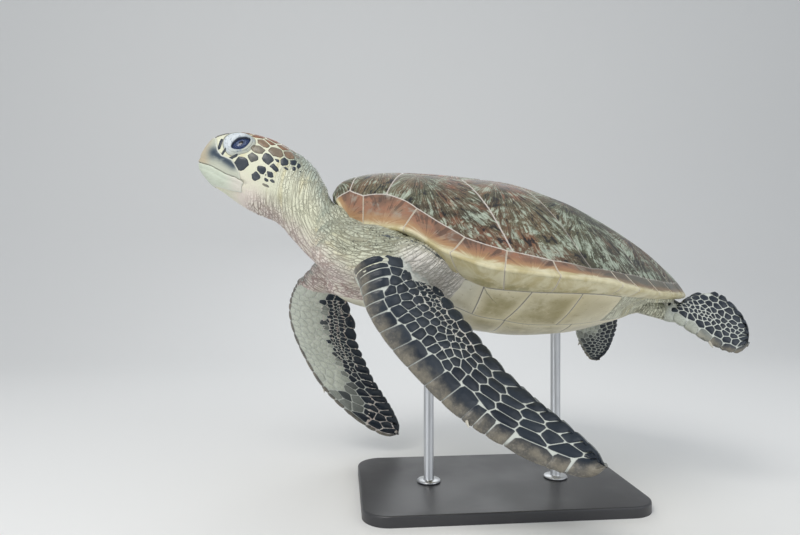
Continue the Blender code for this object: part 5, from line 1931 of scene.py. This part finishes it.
def beak_horn():
    """Smooth worn horn: beige, with a slate smudge and faint streaks that follow the jaw's edge."""
    mat = new_finish("beak_horn", .36, specular=.40, coat=.12, coat_roughness=.22)
    place, spot = place_of(mat), read(mat, "spot", "Vector")
    smudge, low, rim = [read(mat, name) for name in ("smudge", "low", "rim")]
    streak = noise(stretched(spot, (60, 30, 260), (0, math.radians(-20), 0)), 1, 4, .6)
    cloud = noise(place, 38, 4, .6)
    fine = noise(place, 420, 3, .6)
    front = blend(cloud, (.46, .38, .25), (.54, .49, .37))
    side = blend(cloud, (.46, .48, .38), (.55, .57, .48))
    reach = parts(spot)[0]
    colour = blend(fade(reach, -.352, -.322), front, side)
    colour = blend(low, colour, blend(cloud, (.54, .60, .48), (.66, .71, .60)))
    colour = blend(low * fade(reach, -.300, -.252), colour, (.67, .64, .56))
    colour = blend(fade(streak, .52, .68, 0, .26), colour, (.38, .37, .27))
    dark = smudge * fade(cloud + streak * .4, .44, .72)
    colour = blend(smudge * .75, colour, (.16, .21, .25))
    colour = blend(dark, colour, (.035, .055, .080))
    colour = blend(fade(rim, .0030, .0006, 0, .85), colour, (.70, .71, .62))
    # painted shade: the nostrils' openings drawn near-black
    colour = blend(read(mat, "pit"), colour, (.02, .02, .02))
    surface(mat, colour=colour, roughness=fade(cloud, .3, .7, .28, .42), normal=bump(streak + fine * .3,
                                                                                     .0004, .5))
    return mat


def nostrils(q, width):
    """1 in the middle of either nostril, fading to 0 over a width in metres."""
    left, right = [
        np.linalg.norm((q - (NOSTRIL[0], side * NOSTRIL[1], NOSTRIL[2])) * (1, 1.5, 1), axis=1) * SHELL
        for side in (-1, 1)]
    return np.exp(-(np.minimum(left, right) / width) ** 2)


def beak():
    """Takes both sheaths off a finely cut muzzle, split along the line of the mouth."""
    horn = beak_horn()
    points, faces = muzzle()
    p = local(points)
    side_view = p[:, [0, 2]]
    mouth = to_line(side_view, MOUTH_LINE)
    line = np.array(MOUTH_LINE)
    height = np.interp(p[:, 0], line[:, 0], line[:, 1])
    above = np.sign(p[:, 2] - height) * mouth
    for word, border, hand in (("upper", UPPER_BORDER, 1), ("lower", LOWER_BORDER, -1)):
        edge = np.array(border)
        front = [(-.45, .2235), (-.45, edge[0 if hand > 0 else -1, 1])][::hand]
        outline = np.vstack([edge, line[::-1], front] if hand > 0 else [edge, front, line])
        far = to_line(side_view, border)
        inside = np.zeros(len(p), bool)
        for a, b in zip(outline, np.roll(outline, -1, 0)):
            crosses = (a[1] > p[:, 2]) != (b[1] > p[:, 2])
            at = a[0] + (p[:, 2] - a[1]) / (b[1] - a[1] + 1e-12) * (b[0] - a[0])
            inside ^= crosses & (p[:, 0] < at)
        value = np.where(inside, np.minimum(far, above * hand - .00035 / SHELL),
                         -np.minimum(far, mouth)) * SHELL
        cut_points, cut_faces, left = trimmed(points, faces, value)
        sheath = mesh_object("beak_" + word, cut_points, cut_faces, horn)
        outward_facing(sheath)
        normal = points_of(sheath.data, "vertex_normals", "vector")
        if (normal * (cut_points - cut_points.mean(0))).sum() < 0:
            sheath.data.flip_normals()
            normal = -normal
        q = local(cut_points)
        from_mouth = to_line(q[:, [0, 2]], MOUTH_LINE) * SHELL
        lip = np.clip(left / .0022, 0, 1)
        rise = SHEATH * np.sqrt(1 - (1 - lip) ** 2)
        if hand > 0:
            rise += .0011 * np.exp(-(from_mouth / .0035) ** 2) * smooth(left, 0, .0012)
        rise -= .0005 * np.exp(-((from_mouth - .0085) / .002) ** 2)
        rise -= .0022 * nostrils(q, .0022) * (hand > 0) + .0018 * smooth(q[:, 0], -.322, -.350)
        place_points(sheath.data, cut_points + normal * rise[:, None])
        wall = sheath.modifiers.new("wall", "SOLIDIFY")
        wall.thickness, wall.offset = .0014, -1
        settle(sheath)
        q = local(points_of(sheath.data))
        side_q = q[:, [0, 2]]
        from_border = to_line(side_q, border) * SHELL
        from_mouth = to_line(side_q, MOUTH_LINE) * SHELL
        blot = np.exp(-(((q[:, 0] + .322) / .017) ** 2 + ((q[:, 2] - .247) / .016) ** 2))
        blot = np.maximum(blot, np.exp(-(to_line(side_q, SLATE_STREAK) / .0105) ** 2))
        store(sheath, "smudge", blot * (hand > 0) * smooth(np.abs(q[:, 1]), .015, .03))
        store(sheath, "low", np.full(len(q), float(hand < 0)))
        store(sheath, "rim", np.minimum(from_border, from_mouth + .0012))
        store(sheath, "pit", nostrils(q, .0020) * (hand > 0))
        store(sheath, "spot", q)
        held(sheath, "beak")


beak()

# ---------------------------------------------------------------- head and neck: scales
# Named shields of smooth horn cover the crown, and looser dark ones lie on the cheek in broad
# cream skin. Behind them the scales shrink to small studs on the nape.
# place from the side (x, z), length, height, turn in degrees, tone: 0 black, .5 grey, 1 red-brown
CHEEK = ((-.248, .223, 24, 21, -38, .05), (-.221, .243, 14, 12, -30, .42), (-.209, .264, 19, 12, 0, .45),
         (-.196, .285, 20, 17, -10, .60), (-.180, .240, 17, 15, 10, .20), (-.195, .211, 17, 12, -5, .10),
         (-.165, .221, 17, 9, 14, .10), (-.206, .195, 16, 12, -35, .08), (-.172, .2005, 13, 9, -18, .10),
         (-.162, .263, 28, 15, -22, .55), (-.156, .243, 9, 7, 0, .15), (-.141, .239, 14, 13, 20, .06),
         (-.129, .262, 22, 15, -30, .70), (-.118, .240, 10, 11, 0, .05), (-.1335, .221, 8, 3, 10, .05),
         (-.113, .223, 5, 7, 0, .05), (-.104, .233, 5, 8, 20, .05), (-.183, .202, 6, 4, 10, .12),
         (-.179, .187, 7, 4.5, 0, .25), (-.165, .186, 9, 4, 0, .20), (-.181, .173, 13, 3, 0, .35),
         (-.309, .272, 4, 17, 12, .10), (-.2985, .2475, 12, 3.5, -50, .12), (-.272, .2365, 20, 3.2, -16, .10),
         (-.2445, .2385, 14, 3, 22, .2))
# place from above (x, y), length, width, turn, tone; y of nought stands on the midline
CROWN = ((-.310, .013, 25, 15, 0, .30), (-.280, 0, 17, 12, 0, .70), (-.246, .0175, 22, 17, 8, .80),
         (-.247, 0, 12, 9, 0, .85), (-.222, 0, 26, 22, 0, .90), (-.210, .031, 23, 15, -12, .85),
         (-.178, .021, 27, 22, 6, .90), (-.188, .047, 21, 13, -10, .80), (-.186, 0, 9, 8, 0, .7),
         (-.148, .014, 18, 15, 10, .75), (-.146, .039, 20, 14, 0, .80), (-.158, 0, 10, 8, 0, .6),
         (-.128, 0, 10, 9, 0, .5), (-.122, .026, 11, 9, 0, .45), (-.116, .047, 10, 8, 0, .35),
         (-.112, .010, 8, 7, 0, .35))
SCUTE_GAP = .0021


def head_horn():
    """Smooth horn, blue-black to grey on the cheek and red-brown on the crown, with painted shade darkening
    each shield towards its foot.
    """
    mat = new_finish("head_horn", .38, specular=.30, coat=.07, coat_roughness=.25)
    place = place_of(mat)
    tone, level = read(mat, "tone"), read(mat, "level")
    cloud = noise(place, 85, 4, .6)
    fine = noise(place, 480, 4, .65)
    colour = steps(tone, ((0, (.020, .030, .045)), (.22, (.060, .070, .082)), (.45, (.195, .190, .160)),
                          (.60, (.200, .150, .105)), (.85, (.205, .100, .062)), (1, (.22, .10, .065))))
    lighter = blend(1, colour, (1.9, 1.75, 1.5), "MULTIPLY")
    colour = blend(fade(cloud, .45, .68, 0, .6), colour, lighter)
    colour = blend(fade(fine, .52, .66, 0, .35), colour, lighter)
    # painted shade: each shield darker towards its foot, where it meets the hide
    shield_foot_shade = blend(1, colour, (.36, .38, .42), "MULTIPLY")
    colour = blend(fade(level, .55, .05, 0, .75), colour, shield_foot_shade)
    surface(mat, colour=colour, roughness=fade(cloud, .3, .7, .27, .42), normal=bump(fine, .00025, .6))
    return mat


def head_scales():
    """Draws the shields of the crown and the cheeks, and lays them on the head."""
    horn = head_horn()
    grid = head_sheet["grid"]
    flat = local(grid)
    count = head_sheet["count"]
    runs = np.concatenate([-head_sheet["reach"][:, :1] * np.linspace(1, 0, count + 1)[None, :-1],
                           head_sheet["reach"][:, 1:] * np.linspace(0, 1, count + 1)[None]], 1)
    seeds, sizes, starts, tones = [], [], [], []

    def scute(far, length, height, turn, tone, hand, grow=1.12):
        """Adds one outline: a rounded polygon about a place, turned and a little uneven."""
        i, j = np.unravel_index(np.argmin(far), far.shape)
        near = np.maximum(far, 1e-5) ** -4
        window = (slice(max(i - 1, 0), i + 2), slice(max(j - 1, 0), j + 2))
        share = near[window] / near[window].sum()
        s = (np.broadcast_to(head_sheet["along"][:, None], far.shape)[window] * share).sum()
        c = (runs[window] * share).sum()
        seeds.append((s, c))
        half = np.array((length, height)) / 2000 * 1.10 + .0008
        angle = math.radians(turn) * hand
        ring = np.linspace(0, 2 * math.pi, 15)[:-1]
        wobble = 1 + .07 * random.standard_normal(14)
        square = (np.abs(np.cos(ring)) ** 3 + np.abs(np.sin(ring)) ** 3) ** (-1 / 3)
        shape = np.stack([np.cos(ring) * half[0], np.sin(ring) * half[1]], 1)
        shape = shape * (wobble * square * grow)[:, None]
        turned_shape = shape @ np.array(((math.cos(angle), math.sin(angle)),
                                         (-math.sin(angle), math.cos(angle))))
        starts.append(turned_shape + (s, c))
        sizes.append(half.mean())
        tones.append(tone)

    for hand in (-1, 1):
        far_side = 9 * (flat[..., 1] * hand < .004)
        for x, z, length, height, turn, tone in CHEEK:
            x = x + (hand > 0) * .002 * random.standard_normal()
            z = z + (hand > 0) * .002 * random.standard_normal()
            scute(np.hypot(flat[..., 0] - x, flat[..., 2] - z) + far_side, length, height, turn, tone, hand,
                  .90 if z < .225 else 1.06)
        below = 9 * (flat[..., 2] < .2)
        for x, y, length, width, turn, tone in CROWN:
            if y or hand > 0:
                scute(np.hypot(flat[..., 0] - x, flat[..., 1] - y * hand) + below, length, width, turn,
                      tone, hand)
    seeds, sizes = np.array(seeds), np.array(sizes)
    outlines = cell_outlines(seeds, sizes, np.full(len(seeds), SCUTE_GAP), starts)
    kept = [k for k, outline in enumerate(outlines)
            if len(outline) > 3 and np.ptp(outline, axis=0).min() > .0018]
    outlines = [softened(outlines[k], .005, .13) for k in kept]
    size = np.array([np.sqrt(np.ptp(outline[:, 0]) * np.ptp(outline[:, 1])) for outline in outlines])
    piece = laid_scales("scales_head", head_sheet, outlines, np.clip(size / .022, .4, .9), horn, below=.006,
                        tone=np.array(tones)[kept] + .06 * random.standard_normal(len(kept)))
    held(piece, "head_skin")


head_sheet = unrolled(head_rows)
head_scales()

# ---------------------------------------------------------------- nape and rim: studs
# Behind the head the scales shrink to low horn studs, close on the nape and fewer down the neck.
# A row of longer dark ones lies in the hide along the underside of the shell's front rim.
STUD_DENSITY = 70000    # studs to a square metre before they are thinned to their spacing
STUD_SIDES = 7


def stud_tree(name, in_a_row):
    """Nodes that set low studs over a hide, or in a row on a path that carries the hide's normals."""
    tree = bpy.data.node_groups.new(name, "GeometryNodeTree")
    socket(tree, "Geometry", "Geometry")
    socket(tree, "Count", "Int", 15)
    socket(tree, "Spacing", "Float", .004)
    socket(tree, "Radius", "Float", .0016)
    socket(tree, "Length", "Float", 1.0)
    socket(tree, "Seed", "Int", 3)
    socket(tree, "Horn", "Material")

    def node(kind, inputs=(), **settings):
        return node_in(tree, kind, inputs, **settings)

    given = node("NodeGroupInput").outputs
    stud = node("GeometryNodeMeshCone", (("Vertices", STUD_SIDES), ("Radius Top", .55), ("Radius Bottom", 1),
                                         ("Depth", .8)), fill_type="NGON")
    stud = node("GeometryNodeTransform", (("Geometry", stud.outputs["Mesh"]), ("Translation", (0, 0, -.45))))
    if in_a_row:
        path = node("GeometryNodeMeshToCurve", (("Mesh", given["Geometry"]),))
        spots = node("GeometryNodeCurveToPoints", (("Curve", path.outputs["Curve"]),
                                                   ("Count", given["Count"])))
        points = spots.outputs["Points"]
        lie = node("GeometryNodeInputNamedAttribute", (("Name", "lie"),), data_type="FLOAT_VECTOR")
        first = node("FunctionNodeAlignRotationToVector", (("Vector", lie.outputs["Attribute"]),), axis="Z")
        turn = node("FunctionNodeAlignRotationToVector", (("Rotation", first.outputs["Rotation"]),
                                                          ("Vector", spots.outputs["Tangent"])), axis="X",
                    pivot_axis="Z")
        turn = turn.outputs["Rotation"]
    else:
        dense = node("GeometryNodeInputNamedAttribute", (("Name", "stud"),), data_type="FLOAT")
        spots = node("GeometryNodeDistributePointsOnFaces",
                     (("Mesh", given["Geometry"]), ("Distance Min", given["Spacing"]),
                      ("Density Max", STUD_DENSITY), ("Density Factor", dense.outputs["Attribute"]),
                      ("Seed", given["Seed"])), distribute_method="POISSON")
        points = spots.outputs["Points"]
        spin = node("FunctionNodeRandomValue", ((1, (0, 0, 6.28)), ("Seed", given["Seed"])),
                    data_type="FLOAT_VECTOR")
        turned_stud = node("FunctionNodeRotateRotation", (("Rotation", spots.outputs["Rotation"]),
                                                          ("Rotate By", spin.outputs[0])),
                           rotation_space="LOCAL")
        turn = turned_stud.outputs["Rotation"]
    tone = node("FunctionNodeRandomValue", ((2, 0.0), (3, 1.0), ("Seed", 11)), data_type="FLOAT")
    toned = node("GeometryNodeStoreNamedAttribute", (("Geometry", points), ("Name", "tone"),
                                                     ("Value", tone.outputs[1])), data_type="FLOAT",
                 domain="POINT")
    size = node("FunctionNodeRandomValue", ((2, .6), (3, 1.3), ("Seed", 23)), data_type="FLOAT").outputs[1]
    radius = node("ShaderNodeMath", ((0, size), (1, given["Radius"])), operation="MULTIPLY").outputs[0]
    long = node("ShaderNodeMath", ((0, radius), (1, given["Length"])), operation="MULTIPLY").outputs[0]
    high = node("ShaderNodeMath", ((0, radius), (1, .55)), operation="MULTIPLY").outputs[0]
    scale = node("ShaderNodeCombineXYZ", ((0, long), (1, radius), (2, high)))
    set_studs = node("GeometryNodeInstanceOnPoints", (("Points", toned.outputs["Geometry"]),
                                                      ("Instance", stud.outputs["Geometry"]),
                                                      ("Rotation", turn), ("Scale", scale.outputs[0])))
    return finished(tree, set_studs.outputs["Instances"], given["Horn"])


def rooted(obj):
    """Gives each stud of a piece the patch of the unwrap at its root."""
    mesh = obj.data
    points = points_of(mesh)
    each = 2 * STUD_SIDES
    roots = points.reshape(-1, each, 3).mean(1)
    patch = np.array([hide_uv[hide_tree.find_nearest(Vector(p))[2]] for p in roots.tolist()])
    corners = numbers(mesh.loops, "vertex_index")
    place = np.arange(len(points)) % each
    angle = place % STUD_SIDES / STUD_SIDES * 2 * math.pi
    reach = np.where(place < STUD_SIDES, PATCH, PATCH * .6)
    uv = np.repeat(patch, each, axis=0) + np.stack([np.cos(angle), np.sin(angle)], 1) * reach[:, None]
    for layer in list(mesh.uv_layers):
        mesh.uv_layers.remove(layer)
    mesh.uv_layers.new(name="OFBake").data.foreach_set("uv", uv[corners].astype(np.float32).ravel())


def studs():
    """Sets the studs of the nape and the row under the front rim, on each side."""
    horn = new_finish("stud_horn", .4, coat=.1, coat_roughness=.3)
    tone = read(horn, "tone")
    speckle = noise(place_of(horn), 500, 3)
    colour = steps(tone, ((0, (.030, .038, .045)), (.5, (.085, .098, .098)), (.8, (.16, .17, .15)),
                          (1, (.26, .27, .22))))
    surface(horn, colour=blend(fade(speckle, .5, .68, 0, .5), colour, (.12, .12, .10)),
            normal=bump(speckle, .0002, .5))
    field = bpy.data.objects.new("scales_nape", skin.data.copy())
    bpy.context.scene.collection.objects.link(field)
    setting = field.modifiers.new("set", "NODES")
    setting.node_group = stud_tree("nape_studs", False)
    set_inputs(setting, Spacing=.0056, Radius=.0013, Seed=3, Horn=horn)
    settle(field)
    rooted(field)
    held(field, "head_skin")
    for word, side in (("left", -1), ("right", 1)):
        path, lie = [], []
        for x in np.linspace(.030, .270, 40):
            half = float(curve(HALF_WIDTH, x))
            drop = np.interp(x, (.16, .21), (.027, .020))
            start = Vector(world([x, side * (half + .06), float(curve(MARGIN, x)) - drop]))
            spot, normal = hide_tree.ray_cast(start, Vector((0, -side, 0)), .2)[:2]
            if spot:
                path.append(spot)
                lie.append(normal)
        row = mesh_object("scales_rim_" + word, path, [], horn)
        row.data.edges.add(len(path) - 1)
        pairs = [k + d for k in range(len(path) - 1) for d in (0, 1)]
        row.data.edges.foreach_set("vertices", pairs)
        row.data.update()
        store(row, "lie", [list(n) for n in lie])
        setting = row.modifiers.new("set", "NODES")
        setting.node_group = bpy.data.node_groups.get("rim_studs") or stud_tree("rim_studs", True)
        set_inputs(setting, Count=16, Radius=.0025, Length=2.0, Seed=5, Horn=horn)
        settle(row)
        rooted(row)
        held(row, "head_skin")


studs()

# ---------------------------------------------------------------- claws
# One small curved claw of pale horn on the leading edge of each flipper. It grows out of the
# finger bone under the skin, so its root is set into the hide.
CLAW = (.019, .0052, .0045)             # length, half width, how deep the root sits
# where each claw stands, counted in the stations of its limb's table
CLAWS = {"front_left": 7.25, "front_right": 7.12, "rear_left": 4.3, "rear_right": 3.6}


def claws():
    """Seats a claw on each limb, its root in the hide and its point curved towards the tip."""
    mat = new_finish("claw_horn", .35, coat=.2, coat_roughness=.2)
    grow = read(mat, "grow")
    rings = noise(place_of(mat), 700, 3)
    colour = blend(grow, (.42, .38, .30), (.66, .64, .56))
    surface(mat, colour=blend(fade(rings, .5, .7, 0, .4), colour, (.30, .27, .20)),
            normal=bump(rings, .0002, .5))
    for name, station in CLAWS.items():
        lead, trail = [np.array(edge) for edge in LIMBS[name][:2]]
        i, t = int(station), station % 1
        root = lead[i] + (lead[i + 1] - lead[i]) * t
        along = (lead[i + 1] - lead[i]) / np.linalg.norm(lead[i + 1] - lead[i])
        inward = trail[i] + (trail[i + 1] - trail[i]) * t - root
        outward = -(inward - along * (inward @ along))
        outward /= np.linalg.norm(outward)
        normal = np.cross(along, outward)
        length, half, depth = CLAW
        share = np.linspace(0, 1, 15)
        a = np.linspace(0, 2 * math.pi, 21)[:-1]
        middles = (root + outward * (length * (share - .25 * share ** 2) - depth)[:, None]
                   + along * (length * .7 * share ** 1.3)[:, None])
        radius = half * np.sqrt(np.maximum(1 - share ** 1.35, .004))
        ring = along * np.cos(a)[:, None] + normal * np.sin(a)[:, None] * .85
        rows = middles[:, None] + ring[None] * radius[:, None, None]
        points, faces = tube(rows)
        obj = mesh_object("claw_%s_horn" % name, world(points), faces, mat)
        outward_facing(obj)
        store(obj, "grow", np.repeat(share, len(a)))
        held(obj, "claw_horn", "claw_" + name)


claws()
